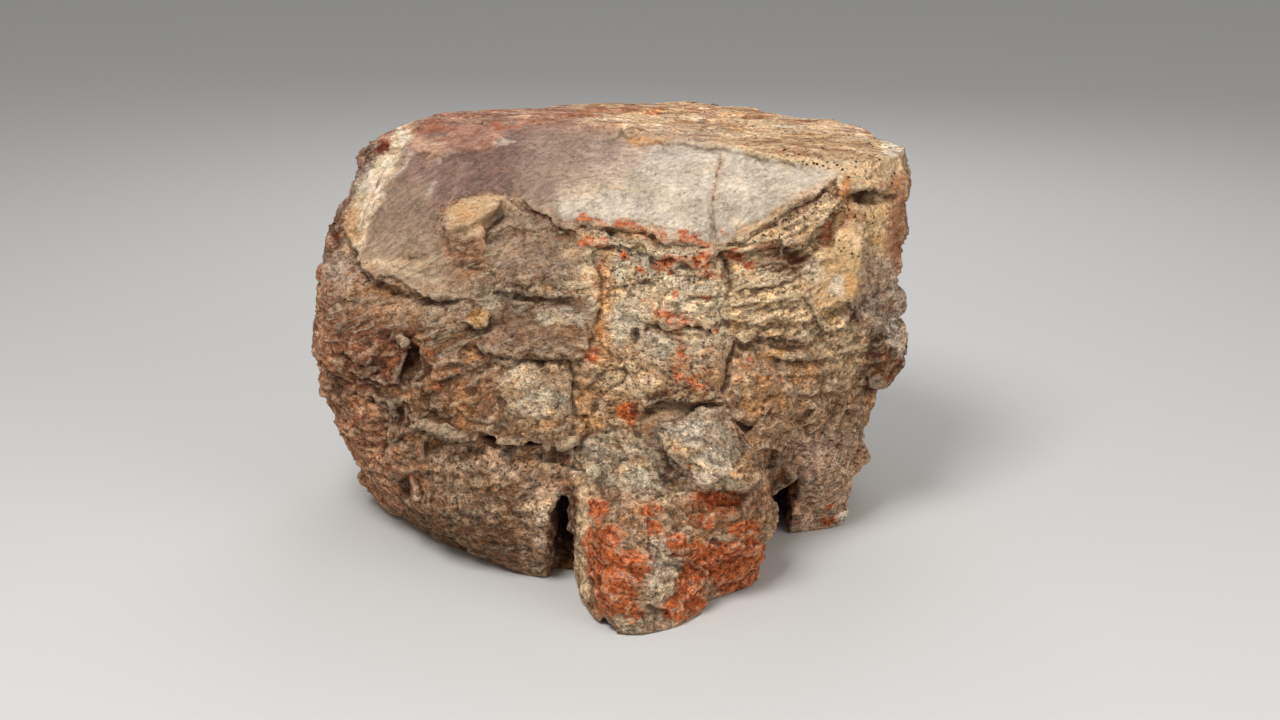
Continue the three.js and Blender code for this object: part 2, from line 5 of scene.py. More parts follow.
import bmesh
import bpy
import numpy as np
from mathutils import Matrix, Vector


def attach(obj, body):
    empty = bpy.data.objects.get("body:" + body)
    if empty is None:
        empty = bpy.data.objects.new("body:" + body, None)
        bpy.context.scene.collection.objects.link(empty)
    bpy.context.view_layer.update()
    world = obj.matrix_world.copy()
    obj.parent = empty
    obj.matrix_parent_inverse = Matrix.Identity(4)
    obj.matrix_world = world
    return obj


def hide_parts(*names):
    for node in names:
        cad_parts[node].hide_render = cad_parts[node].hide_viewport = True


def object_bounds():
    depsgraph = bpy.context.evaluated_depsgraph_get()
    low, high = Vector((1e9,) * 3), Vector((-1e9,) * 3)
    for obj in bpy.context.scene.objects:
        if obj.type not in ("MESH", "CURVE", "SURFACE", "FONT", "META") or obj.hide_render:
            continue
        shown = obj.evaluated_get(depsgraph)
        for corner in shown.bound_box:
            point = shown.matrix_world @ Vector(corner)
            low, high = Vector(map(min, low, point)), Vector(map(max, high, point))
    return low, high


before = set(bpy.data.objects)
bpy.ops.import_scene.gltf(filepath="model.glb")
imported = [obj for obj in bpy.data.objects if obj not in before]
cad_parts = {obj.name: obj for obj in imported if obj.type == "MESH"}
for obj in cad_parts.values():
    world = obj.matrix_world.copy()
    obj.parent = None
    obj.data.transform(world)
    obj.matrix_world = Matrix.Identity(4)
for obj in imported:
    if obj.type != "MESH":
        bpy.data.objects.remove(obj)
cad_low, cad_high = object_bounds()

NODE = "sandstone_rock"
MM = 0.001

# ---- the view and the drawing sheet

# The front is drawn in perspective on a sheet of 1280 x 720 units, as the camera sees it.
EYE = np.array([0.0596, -3.4311, 1.4443])
AIM = np.array([0.0596, -0.0317, 0.3399])
LENS = 50.0
SENSOR = 36.0
SHEET_SIZE = (1280, 720)
SHEET_FOCAL = SHEET_SIZE[0] * LENS / SENSOR


def unit(v):
    return v / np.linalg.norm(v)


SIGHT = unit(AIM - EYE)
RIGHTWARD = unit(np.cross(SIGHT, [0, 0, 1]))
UPWARD = np.cross(RIGHTWARD, SIGHT)


def drawn(points):
    """Where points of the rock lie on the sheet: s to the right, t down."""
    away = points - EYE
    depth = away @ SIGHT
    s = SHEET_SIZE[0] / 2 + SHEET_FOCAL * (away @ RIGHTWARD) / depth
    t = SHEET_SIZE[1] / 2 - SHEET_FOCAL * (away @ UPWARD) / depth
    return s, t


def facing(points, normals, low, high):
    """0 where the surface faces away from the eye, 1 where it faces it, fading between two cosines."""
    toward = EYE - points
    toward /= np.linalg.norm(toward, axis=1)[:, None]
    return smooth((normals * toward).sum(1), low, high)


FRONT = (0.0, 0.3)  # the cosines between which the front fades out

# ---- noise

MIXERS = (374761393, 668265263, 2246822519, 3266489917)  # large odd numbers that scatter a cell's bits
CELL_REACH = 9.0  # farther than any seed, in cells
FACET_LEAN = 2.4


def smooth(x, low, high):
    """0 at low and beyond, 1 at high and beyond, with an S-shaped slope between. low may be the larger."""
    u = np.clip((x - low) / (high - low), 0, 1)
    return u * u * (3 - 2 * u)


def hashed(cell, seed):
    """A number from 0 to 1 for each integer cell, always the same for the same cell and seed."""
    a, b, c, d = (np.uint32(mixer) for mixer in MIXERS)
    x, y, z = cell.astype(np.int64).astype(np.uint32).T
    h = x * a + y * b + z * c + np.uint32((seed * MIXERS[3]) % 2**32)
    h = (h ^ (h >> np.uint32(15))) * c
    h = (h ^ (h >> np.uint32(13))) * d
    return (h ^ (h >> np.uint32(16))) / np.float64(2**32)


def hashes(cell, seed, numbers):
    return np.stack([hashed(cell, seed + number) for number in numbers], axis=1)


def noise(points, size, seed=0):
    """Smooth noise from -1 to 1 whose lumps are about one size across."""
    q = points / size
    base = np.floor(q)
    u = q - base
    u = u * u * u * (u * (6 * u - 15) + 10)
    total = np.zeros(len(points))
    for corner in np.ndindex(2, 2, 2):
        x, y, z = (u[:, k] if corner[k] else 1 - u[:, k] for k in range(3))
        total += x * y * z * hashed(base + corner, seed)
    return 2 * total - 1


def noises(points, size, *seeds):
    """One column of noise for each seed."""
    return np.stack([noise(points, size, seed) for seed in seeds], axis=1)


def summed(points, *layers):
    """Several noises added up, each layer (amount, size, seed)."""
    return sum(amount * noise(points, size, seed) for amount, size, seed in layers)


def fractal(points, size, octaves, seed=0):
    """Noise with finer and finer lumps added, each half as strong."""
    total = np.zeros(len(points))
    for k in range(octaves):
        total += noise(points, size / 2**k, seed + 7 * k) / 2**k
    return total / (2 - 0.5 ** (octaves - 1))


def neighbours(q, seed):
    """The 27 cells round each point's own in turn, with the place in each of its scattered seed."""
    base = np.floor(q)
    for k in range(27):
        cell = base + [k % 3 - 1, k // 3 % 3 - 1, k // 9 - 1]
        yield cell, hashes(cell, seed, (1, 2, 3))


def cells(points, size, seed=0):
    """Each point's distance from the nearest of some scattered seeds, in sizes, and that seed's number."""
    q = points / size
    nearest = np.full(len(points), CELL_REACH)
    number = np.zeros(len(points))
    for cell, place in neighbours(q, seed):
        distance = np.linalg.norm(q - (cell + place), axis=1)
        closer = distance < nearest
        nearest[closer] = distance[closer]
        number[closer] = hashed(cell[closer], seed + 4)
    return nearest, number


def facets(points, size, seed=0):
    """Broken faces from about -1 to 1: space is split into cells, and each one's face leans its own way."""
    q = points / size
    nearest = np.full(len(points), CELL_REACH)
    height = np.zeros(len(points))
    for cell, place in neighbours(q, seed):
        away = q - cell - place
        distance = np.linalg.norm(away, axis=1)
        closer = np.where(distance < nearest)[0]
        cell, away = cell[closer], away[closer]
        lean = hashes(cell, seed, (4, 5, 6)) - 0.5
        nearest[closer] = distance[closer]
        height[closer] = FACET_LEAN * (lean * away).sum(1) + hashed(cell, seed + 7) - 0.5
    return height


# ---- lines and areas on the sheet

# Lines and outlines are lists of numbers s, t, s, t ... in units of the sheet.
TAPER = 14.0  # a line fades out over this length at its ends


class Stroke:
    """A line drawn on the sheet. It tells how far points are from it, and on which side."""

    def __init__(self, line):
        self.points = np.array(line, float).reshape(-1, 2)
        self.steps = np.diff(self.points, axis=0)
        self.lengths = np.linalg.norm(self.steps, axis=1)
        self.total = self.lengths.sum()

    def near(self, s, t, reach):
        """Which points lie less than reach outside the line's own box."""
        low = self.points.min(0) - reach
        high = self.points.max(0) + reach
        return np.where((s > low[0]) & (s < high[0]) & (t > low[1]) & (t < high[1]))[0]

    def measure(self, s, t):
        """The distance, 1 above the line (to its left) or -1 below it, and 1 fading to 0 at its ends."""
        best = np.full(len(s), np.inf)
        side = np.ones(len(s))
        along = np.zeros(len(s))
        walked = 0.0
        for start, step, length in zip(self.points, self.steps, self.lengths):
            ds, dt = step / length
            reach = np.clip((s - start[0]) * ds + (t - start[1]) * dt, 0, length)
            distance = np.hypot(s - start[0] - reach * ds, t - start[1] - reach * dt)
            closer = distance < best
            turn = np.sign((s - start[0]) * dt - (t - start[1]) * ds)
            best = np.where(closer, distance, best)
            side = np.where(closer, turn, side)
            along = np.where(closer, walked + reach, along)
            walked += length
        taper = min(TAPER, self.total / 3)
        ends = smooth(along, 0, taper) * smooth(self.total - along, 0, taper)
        return best, side, ends


def hump(distance, width):
    return np.exp(-((distance / width) ** 2))


def band(line, strength, width, s, t, shake=np.zeros((1, 2))):
    """The points near a line, and how strongly a soft band along it covers them. shake moves the points."""
    stroke = Stroke(line)
    near = stroke.near(s, t, 3 * width)
    distance, _, ends = stroke.measure((s + shake[:, 0])[near], (t + shake[:, 1])[near])
    return near, strength * ends * hump(distance, width)


def inside(outline, s, t, soft):
    """1 inside a closed outline, 0 outside, fading over `soft` units either side of it."""
    corners = np.array(outline, float).reshape(-1, 2)
    share = np.zeros(len(s))
    low, high = corners.min(0) - soft, corners.max(0) + soft
    near = np.where((s > low[0]) & (s < high[0]) & (t > low[1]) & (t < high[1]))[0]
    x, y = s[near], t[near]
    distance = np.full(len(near), np.inf)
    within = np.zeros(len(near), bool)
    for a, b in zip(corners, np.roll(corners, -1, axis=0)):
        step = b - a
        along = np.clip(((x - a[0]) * step[0] + (y - a[1]) * step[1]) / (step @ step), 0, 1)
        distance = np.minimum(distance, np.hypot(x - a[0] - along * step[0], y - a[1] - along * step[1]))
        if step[1] != 0:
            crosses = (y < a[1]) != (y < b[1])
            within ^= crosses & (x < a[0] + (y - a[1]) * step[0] / step[1])
    share[near] = smooth(np.where(within, distance, -distance), -soft, soft)
    return share


def highest(areas, floor, weight, s, t, soft=8):
    """The highest of `floor` and, inside each area (strength, outline), of its strength times `weight`."""
    for strength, outline in areas:
        floor = np.maximum(floor, weight * strength * inside(outline, s, t, soft))
    return floor


def dab(s, t, oval, soft):
    """1 in the middle of an oval (s, t, half width, half height), 0 outside it."""
    far = np.hypot((s - oval[0]) / oval[2], (t - oval[1]) / oval[3])
    return smooth(-far, -1 - soft, -1 + soft)


# ---- ledges and cracks

# Ledges, each (out, rise, under, fall, line): the rock stands `out` mm proud above the line, fading over
# `rise` units of the sheet, and is cut back `under` mm below it, over `fall` units. Above is to the left of
# the line's own direction.
LEDGES = {
    "slab_lip_left": (6, 9, 6, 4, [338, 226, 348, 240, 357, 250, 358, 258, 362, 266, 370, 279, 380, 276,
        394, 277, 406, 286, 418, 294, 440, 298, 462, 299]),
    "band_crack": (3, 5, 5, 3, [338, 219, 345, 229, 351, 239, 357, 249]),
    "slab_pocket": (2, 4, 4, 3, [405, 254, 416, 256, 426, 255]),
    "slab_ripple": (2, 6, 3, 6, [424, 266, 440, 264, 456, 266]),
    "slab_ripple_low": (2, 6, 2, 6, [380, 262, 400, 268, 424, 274, 450, 280, 468, 284]),
    "knob_top": (2, 6, 2, 4, [505, 200, 498, 196, 488, 196, 474, 197, 462, 200, 452, 206, 445, 216,
        443, 226]),
    "knob_lip": (0, 6, -3, 5, [441, 225, 450, 228, 462, 226, 471, 222, 473, 232, 480, 233, 486, 226,
        494, 217, 504, 203]),
    "knob_stem": (3, 5, 3, 4, [446, 236, 450, 250, 458, 250, 468, 254, 484, 250]),
    "knob_hollow": (2, 5, 5, 5, [456, 258, 464, 264, 476, 266, 486, 268, 500, 275]),
    "lip_step": (4, 6, 5, 3, [518, 196, 524, 201, 530, 209, 540, 212, 547, 215, 556, 223, 566, 229,
        577, 234, 580, 244]),
    "lower_step": (3, 6, 3, 4, [484, 240, 492, 236, 500, 228, 510, 226, 522, 230, 534, 231, 547, 227,
        556, 229, 566, 233, 576, 236]),
    "cream_flake": (2, 6, 1.5, 3, [556, 219, 556, 206, 557, 195, 566, 191, 580, 190, 600, 188, 626, 187]),
    "slab_lip_middle": (2, 7, -4, 4, [578, 222, 590, 226, 602, 230, 614, 231, 626, 232, 638, 228, 649, 230,
        657, 239, 672, 239, 690, 243, 706, 246, 718, 249]),
    "slab_sheet_middle": (3, 4, 3, 2.5, [576, 214, 590, 218, 612, 222, 634, 221, 650, 222, 664, 228,
        690, 231, 712, 234]),
    "slab_lip_right": (4, 7, 3, 3, [718, 246, 732, 242, 746, 240, 751, 232, 762, 226, 776, 219, 786, 211,
        796, 205, 806, 200, 816, 195, 826, 188, 836, 178, 840, 171]),
    "slab_sheet_right": (3, 4, 3, 2.5, [732, 228, 746, 225, 760, 220, 776, 211, 792, 201, 808, 195]),
    "second_bed_left": (4, 5, 4, 3, [584, 250, 594, 246, 600, 242, 615, 245, 628, 247, 640, 243, 648, 250,
        655, 258, 668, 257, 681, 259, 691, 265, 700, 269, 710, 262, 720, 255]),
    "third_bed_left": (3, 4, 4, 3, [600, 256, 612, 262, 622, 258, 632, 258]),
    "fourth_bed_left": (3, 5, 4, 3, [652, 268, 664, 273, 676, 273, 688, 276, 704, 276, 722, 272]),
    "middle_ledge": (3, 5, 4, 2.5, [622, 279, 636, 281, 652, 280]),
    "middle_ledge_right": (3, 5, 4, 2.5, [684, 291, 694, 296, 706, 297, 722, 294]),
    "second_bed_right": (4, 5, 4, 4, [722, 253, 736, 252, 750, 250, 766, 248, 776, 247, 781, 241, 788, 246,
        794, 251, 800, 248, 808, 236, 818, 227, 828, 217, 838, 206, 844, 199]),
    "cavity_bed": (3, 5, 4, 4, [748, 268, 764, 266, 780, 264, 796, 266, 808, 262, 826, 258, 846, 254]),
    "corner_overhang": (5, 8, 9, 5, [842, 199, 848, 194, 858, 190, 870, 189, 882, 191, 894, 186]),
    "corner_edge": (4, 5, 6, 4, [840, 171, 837, 182, 841, 192, 846, 200]),
    "third_bed": (3, 5, 4, 3, [731, 292, 744, 289, 758, 287, 775, 285, 788, 282, 800, 276, 812, 272,
        824, 265]),
    "fourth_bed": (3, 5, 4, 3, [716, 312, 724, 307, 738, 306, 754, 305, 772, 303, 790, 302, 802, 298]),
    "fifth_bed": (3, 4, 4, 3, [722, 322, 738, 325, 757, 326, 772, 324, 779, 323, 784, 317, 791, 324,
        806, 322, 816, 318]),
    "sixth_bed": (4, 5, 5, 4, [730, 337, 738, 341, 747, 345, 756, 340, 770, 339, 782, 341, 788, 346,
        802, 345, 812, 342, 818, 334]),
    "sixth_bed_right": (3, 5, 5, 4, [818, 334, 826, 340, 838, 344, 850, 343, 862, 336, 874, 330]),
    "seventh_bed": (2, 5, 3, 5, [757, 356, 776, 359, 800, 359, 820, 360, 840, 355, 850, 350, 862, 345]),
    "eighth_bed": (2, 6, 3, 5, [744, 374, 764, 377, 790, 374, 814, 376, 836, 370, 858, 372]),
    "ninth_bed": (2, 7, 2, 6, [738, 394, 760, 397, 790, 396, 820, 394, 850, 388]),
    "fold": (5, 4, 6, 3, [800, 289, 808, 297, 813, 306, 817, 318, 821, 329, 831, 333, 842, 326, 851, 315,
        858, 304]),
    "flake_edge": (5, 7, 6, 4, [816, 312, 826, 309, 838, 302, 848, 299, 853, 311, 858, 290, 864, 270,
        868, 245, 865, 224, 858, 210]),
    "flake_crack": (2, 3, 4, 2, [856, 212, 862, 218, 857, 226, 862, 236, 870, 244]),
    "small_beds": (5, 6, 6, 4, [636, 338, 644, 328, 648, 320, 658, 322, 668, 328, 680, 325, 690, 321,
        701, 324, 709, 331, 718, 335]),
    "small_bed_right": (4, 4, 5, 3, [690, 311, 702, 313, 712, 315, 722, 307]),
    "strip_top": (5, 6, 4, 8, [490, 288, 508, 292, 530, 292, 548, 296, 566, 297, 578, 301]),
    "strip_foot": (2, 5, 1, 4, [498, 309, 516, 311, 536, 313, 560, 312, 586, 311]),
    "left_line": (3, 6, 4, 4, [428, 298, 446, 299, 466, 298, 484, 299, 500, 299]),
    "hanging_block": (3, 8, 3, 6, [470, 346, 500, 354, 530, 358, 560, 358, 576, 358, 588, 350, 594, 334]),
    "grey_block_left": (2, 8, 2, 5, [500, 364, 502, 374, 497, 386, 500, 398, 494, 412, 500, 424]),
    "lobe_brow": (0, 9, -18, 13, [408, 424, 422, 419, 432, 423, 448, 428, 464, 430, 482, 437, 504, 438,
        516, 437, 526, 442, 536, 446, 552, 444, 566, 440, 578, 430]),
    "brow_lumps": (4, 7, 5, 5, [426, 408, 440, 418, 452, 416, 460, 408, 468, 420, 484, 424, 498, 424,
        508, 430]),
    "pebble_shadow": (8, 6, 10, 5, [456, 322, 466, 322, 474, 326, 482, 326, 488, 320, 487, 308]),
    "left_block_foot": (6, 8, 7, 5, [352, 372, 364, 378, 376, 384, 388, 387, 398, 384, 400, 374, 406, 362,
        412, 350, 406, 338, 400, 328]),
    "left_flake": (7, 7, 10, 5, [362, 394, 376, 399, 388, 404, 393, 414, 394, 426, 387, 432, 389, 442,
        386, 452, 382, 464]),
    "flake_line": (3, 5, 4, 2, [363, 428, 366, 412, 364, 396]),
    "hollow_edge": (5, 7, 6, 5, [404, 436, 408, 424, 410, 410, 404, 400]),
    "shoulder_edge": (5, 6, 6, 4, [424, 466, 424, 450, 423, 436]),
    "low_flake": (7, 7, 9, 6, [422, 508, 418, 496, 416, 482, 410, 472]),
    "low_flake_right": (4, 6, 5, 4, [444, 470, 448, 480, 445, 490, 438, 500]),
    "toe_rim": (4, 6, 3, 4, [588, 474, 572, 468, 556, 463, 542, 464, 532, 472, 527, 486]),
    "foot_rim": (6, 5, 5, 4, [576, 448, 580, 462, 586, 476, 591, 488, 587, 500, 584, 516, 580, 540,
        578, 562]),
    "foot_top": (4, 8, 4, 5, [654, 452, 640, 440, 622, 430, 604, 432, 590, 436, 580, 446]),
    "chunk_recess": (0, 8, -4, 7, [640, 414, 652, 400, 664, 396, 684, 399, 704, 402, 720, 402, 730, 410,
        740, 420, 756, 428]),
    "chunk_rim": (4, 7, 3, 4, [757, 462, 752, 446, 738, 440, 730, 428, 724, 412, 712, 406, 702, 406,
        690, 416, 676, 421, 662, 424, 650, 428]),
    "chunk_foot": (4, 8, 5, 5, [652, 448, 657, 462, 664, 474, 676, 482, 688, 488, 704, 492, 722, 490,
        740, 494, 758, 492]),
    "chunk_shell": (4, 4, 6, 4, [662, 444, 668, 452, 670, 462, 676, 470, 684, 474]),
    "chunk_ridge": (4, 5, 5, 4, [704, 432, 708, 440, 708, 450]),
    "cave_lumps": (5, 6, 8, 5, [752, 452, 760, 448, 770, 448, 778, 454, 776, 466, 768, 474]),
    "foot_crack": (4, 5, 6, 4, [648, 538, 658, 546, 668, 552, 682, 552, 698, 547]),
    "foot_seam": (4, 6, 4, 4, [650, 556, 650, 540, 648, 524, 648, 504]),
    "foot_heel": (5, 7, 6, 5, [668, 560, 684, 562, 696, 568, 708, 576, 704, 592]),
    "lobe_lines": (3, 6, 4, 5, [780, 440, 800, 444, 824, 440, 846, 446, 864, 444]),
    "lobe_edge": (4, 6, 5, 4, [798, 512, 794, 494, 796, 476, 800, 460]),
    "lobe_beak": (4, 6, 5, 4, [836, 470, 848, 476, 860, 474, 870, 464]),
    "band_edge": (4, 9, 5, 5, [408, 140, 400, 152, 390, 165, 382, 178, 371, 199, 364, 214, 361, 230,
        358, 246]),
    "side_line": (3, 5, 5, 4, [332, 296, 348, 300, 364, 302, 380, 300]),
    "veneer_edge_left": (2, 5, 1, 3, [404, 148, 416, 151, 430, 150, 434, 156, 444, 157, 458, 153, 472, 149,
        486, 150, 496, 142, 508, 137, 522, 130, 538, 124]),
    "veneer_step": (3, 5, 3, 3, [470, 124, 482, 124, 494, 126]),
    "veneer_edge_right": (4, 6, 4, 3, [600, 143, 614, 137, 622, 131, 628, 138, 637, 132, 640, 142, 660, 143,
        682, 143, 700, 148, 722, 148, 746, 152, 764, 158, 790, 164, 806, 170]),
}

# Cracks, each (depth in mm, half width, line). A negative depth fills the rock out.
CRACKS = {
    "long_joint_above": (4, 1.0, [721, 146, 719, 160, 716, 182, 713, 206, 714, 228, 718, 246]),
    "long_joint_middle": (6, 1.8, [718, 246, 724, 256, 729, 266, 730, 280, 726, 294]),
    "long_joint_beds": (6, 1.4, [726, 294, 720, 309, 724, 322, 734, 335]),
    "long_joint_foot": (9, 1.7, [734, 333, 735, 346, 730, 362, 727, 380, 724, 398]),
    "short_joint": (4, 1.3, [589, 253, 596, 266, 601, 278, 603, 292, 602, 304, 597, 318, 592, 330, 594, 340,
        588, 352]),
    "lobe_joint": (4, 1.4, [566, 352, 571, 366, 574, 380, 570, 394, 575, 410, 573, 428, 576, 446]),
    "strip_recess": (-5, 5, [500, 299, 516, 302, 534, 304, 552, 305, 570, 306, 586, 308]),
    "slab_notch": (8, 3, [364, 270, 370, 276, 376, 281]),
    "knob_shadow": (3, 4, [460, 262, 470, 266, 482, 266]),
    "left_hollow": (7, 4, [406, 338, 411, 350, 410, 362, 404, 374, 402, 384]),
    "flake_hollow": (7, 4.5, [398, 402, 400, 414, 399, 428]),
    "shoulder_hollow": (11, 6, [398, 478, 402, 490, 406, 502]),
    "red_hole": (10, 3, [336, 232, 343, 232]),
    "eye_pit": (10, 2.2, [635, 325, 636, 336, 634, 346]),
    "recess_right": (5, 5, [704, 262, 712, 262, 720, 262]),
    "cavity_right": (5, 7, [764, 258, 780, 258, 796, 258, 808, 254]),
    "corner_hollow": (12, 5, [852, 198, 864, 197, 880, 196]),
    "lip_pocket": (7, 3, [818, 334, 824, 338]),
    "foot_cleft": (7, 3, [690, 560, 698, 566, 708, 571]),
    "foot_pocket": (6, 5, [672, 510, 678, 522, 672, 534]),
    "chunk_pit": (6, 5, [664, 460, 672, 474, 684, 482]),
    "heel_pit": (5, 5, [592, 574, 594, 588]),
    "slot_shade": (8, 5, [572, 484, 566, 500, 562, 530]),
    "joint_fill": (-14, 8, [568, 446, 575, 456, 580, 468]),
    "brow_fill": (-12, 8, [412, 431, 440, 436, 470, 441]),
    "lip_fill": (-6, 6, [606, 236, 636, 238, 655, 243]),
    "bed_gap": (7, 2.5, [764, 346, 780, 348, 800, 352]),
}

# Each drawn ledge gets a band of painted shade under its lip and a lighter band along its top, partly wear
# and partly painted highlight.
LEDGE_SHADE_WIDTH = 1.7
LIT_TOP_WIDTH = 3.0
SHALLOW_LEDGE, DEEP_LEDGE = 5, 16  # mm from its top to its foot: no painted shade yet, and a full one
FAINTEST_LEDGE_SHADE = 0.15


def carved_front(s, t, wander):
    """Height in mm that the drawn ledges and cracks add, how dark the painted shade under the ledges' lips
    is, and how light their tops are, partly wear and partly painted highlight.

    wander shakes the lines by a few units.
    """
    height = np.zeros(len(s))
    ledge_shade = np.zeros(len(s))
    edge = np.zeros(len(s))
    for out, rise, under, fall, line in LEDGES.values():
        stroke = Stroke(line)
        near = stroke.near(s, t, 4 * max(rise, fall))
        distance, side, ends = stroke.measure(s[near] + wander[near, 0], t[near] + wander[near, 1])
        above = out * np.exp(-distance / rise)
        below = -under * np.exp(-distance / fall)
        height[near] += ends * np.where(side > 0, above, below)
        # Below the lip a band of painted shade, above it a lighter band: partly wear, partly painted
        # highlight.
        depth = np.clip((out + under - SHALLOW_LEDGE) / (DEEP_LEDGE - SHALLOW_LEDGE), FAINTEST_LEDGE_SHADE, 1)
        ledge_shade[near] = np.maximum(ledge_shade[near], ends * depth * (side < 0) * hump(distance, LEDGE_SHADE_WIDTH))
        edge[near] = np.maximum(edge[near], ends * depth * (side > 0) * hump(distance, LIT_TOP_WIDTH))
    for depth, width, line in CRACKS.values():
        near, cut = band(line, depth, width, s, t, 0.5 * wander)
        height[near] -= cut
    return height, ledge_shade, edge


# ---- regions of the front

# Outlines of the regions that have their own relief or paint.
SLAB = [430, 118, 560, 122, 720, 143, 800, 166, 840, 173, 836, 180, 800, 203, 776, 217, 748, 236, 716, 244,
    690, 241, 657, 237, 649, 228, 614, 229, 580, 222, 560, 226, 547, 213, 535, 211, 520, 197, 505, 198,
    470, 193, 444, 203, 438, 222, 446, 240, 450, 262, 480, 270, 460, 297, 430, 296, 395, 279, 380, 275,
    370, 278, 358, 256, 366, 215, 385, 175, 405, 142]
GRAINY_LOBE = [410, 425, 440, 430, 520, 442, 576, 450, 580, 580, 520, 580, 425, 548, 405, 505]
GRAINY_RIGHT = [785, 440, 878, 430, 878, 480, 852, 530, 785, 532]
FOOT = [578, 440, 660, 445, 700, 492, 770, 470, 772, 540, 750, 600, 630, 640, 572, 600]
LAMINAE = [722, 246, 780, 222, 842, 196, 846, 226, 818, 290, 850, 318, 862, 350, 800, 352, 735, 344,
    724, 320]
CRUMBLY = [584, 250, 716, 244, 724, 330, 870, 352, 905, 395, 862, 440, 760, 444, 650, 430, 584, 436]
PITTED = [792, 148, 830, 142, 890, 158, 884, 182, 845, 182, 810, 172]
CREAM_BAND = [398, 126, 416, 124, 410, 143, 398, 163, 383, 190, 370, 222, 360, 250, 346, 246, 346, 215,
    358, 186, 372, 166, 384, 143]
FLAKE = [826, 230, 842, 206, 858, 206, 872, 246, 862, 300, 838, 310, 816, 312, 820, 270]

# How thickly pitted the stone is, each (strength, outline).
PITS = [
    (1.0, [750, 128, 800, 122, 905, 140, 900, 188, 845, 184, 810, 170, 770, 150]),
    (0.8, [846, 196, 890, 196, 886, 262, 840, 262, 826, 240]),
    (0.85, [716, 236, 752, 226, 800, 198, 834, 180, 842, 196, 812, 226, 790, 246, 750, 250]),
    (0.8, [600, 236, 700, 246, 716, 262, 700, 290, 610, 290]),
    (0.75, [600, 352, 720, 350, 720, 400, 650, 430, 590, 430]),
    (0.7, [760, 400, 860, 396, 870, 440, 800, 480, 760, 450]),
]

# How strongly its thin beds show as lines, each (strength, outline). Later ones replace earlier ones.
LINED = [
    (0.75, [300, 225, 480, 262, 590, 296, 592, 350, 500, 360, 300, 360]),
    (0.25, [300, 340, 590, 352, 590, 590, 300, 590]),
    (0.55, [584, 244, 716, 246, 730, 335, 722, 350, 590, 350]),
    (0.3, [584, 350, 724, 350, 870, 350, 880, 400, 860, 440, 650, 440, 584, 436]),
    (0.2, [576, 436, 890, 436, 890, 540, 770, 540, 750, 610, 620, 650, 570, 610]),
    (0.15, SLAB),
    (1.0, LAMINAE),
    (0.7, [352, 244, 400, 246, 446, 262, 500, 262, 586, 254, 590, 318, 480, 320, 352, 292]),
    (0.35, FLAKE),
]

# How calm it is, with less relief and fewer blotches, each (strength, outline).
CALM = [
    (0.9, CREAM_BAND),
    (0.35, [330, 250, 372, 282, 440, 298, 590, 300, 592, 345, 500, 350, 420, 330, 320, 320]),
    (0.9, [436, 196, 505, 190, 510, 204, 490, 226, 470, 234, 440, 232]),
    (0.6, [440, 230, 492, 220, 490, 262, 446, 260]),
    (0.6, [505, 198, 535, 210, 560, 226, 580, 240, 590, 270, 500, 272, 480, 258, 492, 224]),
    (0.75, FLAKE),
    (0.8, [650, 402, 690, 400, 700, 412, 676, 420, 655, 424]),
    (0.6, [846, 190, 908, 190, 908, 260, 846, 260]),
    (0.7, [760, 116, 915, 120, 915, 192, 846, 186, 800, 168, 760, 150]),
]


# ---- mesh arrays

VOXEL = 0.0042
TRIANGLES = 196000
SPARE_STEPS = 8
THINNING_WEIGHT = 0.008


class Skin:
    """A mesh as arrays, with its neighbours."""

    def __init__(self, mesh):
        self.mesh = mesh
        self.points = np.empty(len(mesh.vertices) * 3)
        mesh.vertices.foreach_get("co", self.points)
        self.points = self.points.reshape(-1, 3)
        edges = np.empty(len(mesh.edges) * 2, np.int64)
        mesh.edges.foreach_get("vertices", edges)
        self.edges = edges.reshape(-1, 2)
        self.valence = np.maximum(np.bincount(edges, minlength=len(self.points)), 1)

    def average(self, values):
        """Each vertex's mean over its neighbours."""
        a, b = self.edges.T
        total = np.bincount(a, values[b], len(values)) + np.bincount(b, values[a], len(values))
        return total / self.valence

    def smoothed(self, values, rounds, share=0.6):
        out = values.copy()
        for _ in range(rounds):
            for column in out.T:
                column += share * (self.average(column) - column)
        return out

    def write(self):
        self.mesh.vertices.foreach_set("co", self.points.ravel())
        self.mesh.update()

    def normals(self):
        self.write()
        normals = np.empty(len(self.points) * 3)
        self.mesh.vertex_normals.foreach_get("vector", normals)
        return normals.reshape(-1, 3)

    def hollowness(self, rounds):
        """How far in mm each vertex lies below the mean of its surroundings."""
        return ((self.smoothed(self.points, rounds) - self.points) * self.normals()).sum(1) / MM


def evaluated(obj):
    """A new mesh: obj with its modifiers applied."""
    return bpy.data.meshes.new_from_object(obj.evaluated_get(bpy.context.evaluated_depsgraph_get()))


def link(name, data):
    obj = bpy.data.objects.new(name, data)
    bpy.context.scene.collection.objects.link(obj)
    return obj


def remeshed(mesh):
    obj = link("rough", mesh.copy())
    modifier = obj.modifiers.new("voxels", "REMESH")
    modifier.mode = "VOXEL"
    modifier.voxel_size = VOXEL
    fine = evaluated(obj)
    bpy.data.objects.remove(obj)
    return fine


def store(mesh, name, values):
    mesh.attributes.new(name, "FLOAT", "POINT").data.foreach_set("value", values.astype(np.float32))


def stored(mesh, name):
    values = np.empty(len(mesh.vertices), np.float32)
    mesh.attributes[name].data.foreach_get("value", values)
    mesh.attributes.remove(mesh.attributes[name])
    return values.astype(float)


def store_colour(mesh, name, columns):
    colour = mesh.color_attributes.new(name, "FLOAT_COLOR", "POINT")
    colour.data.foreach_set("color", np.column_stack(columns).astype(np.float32).ravel())


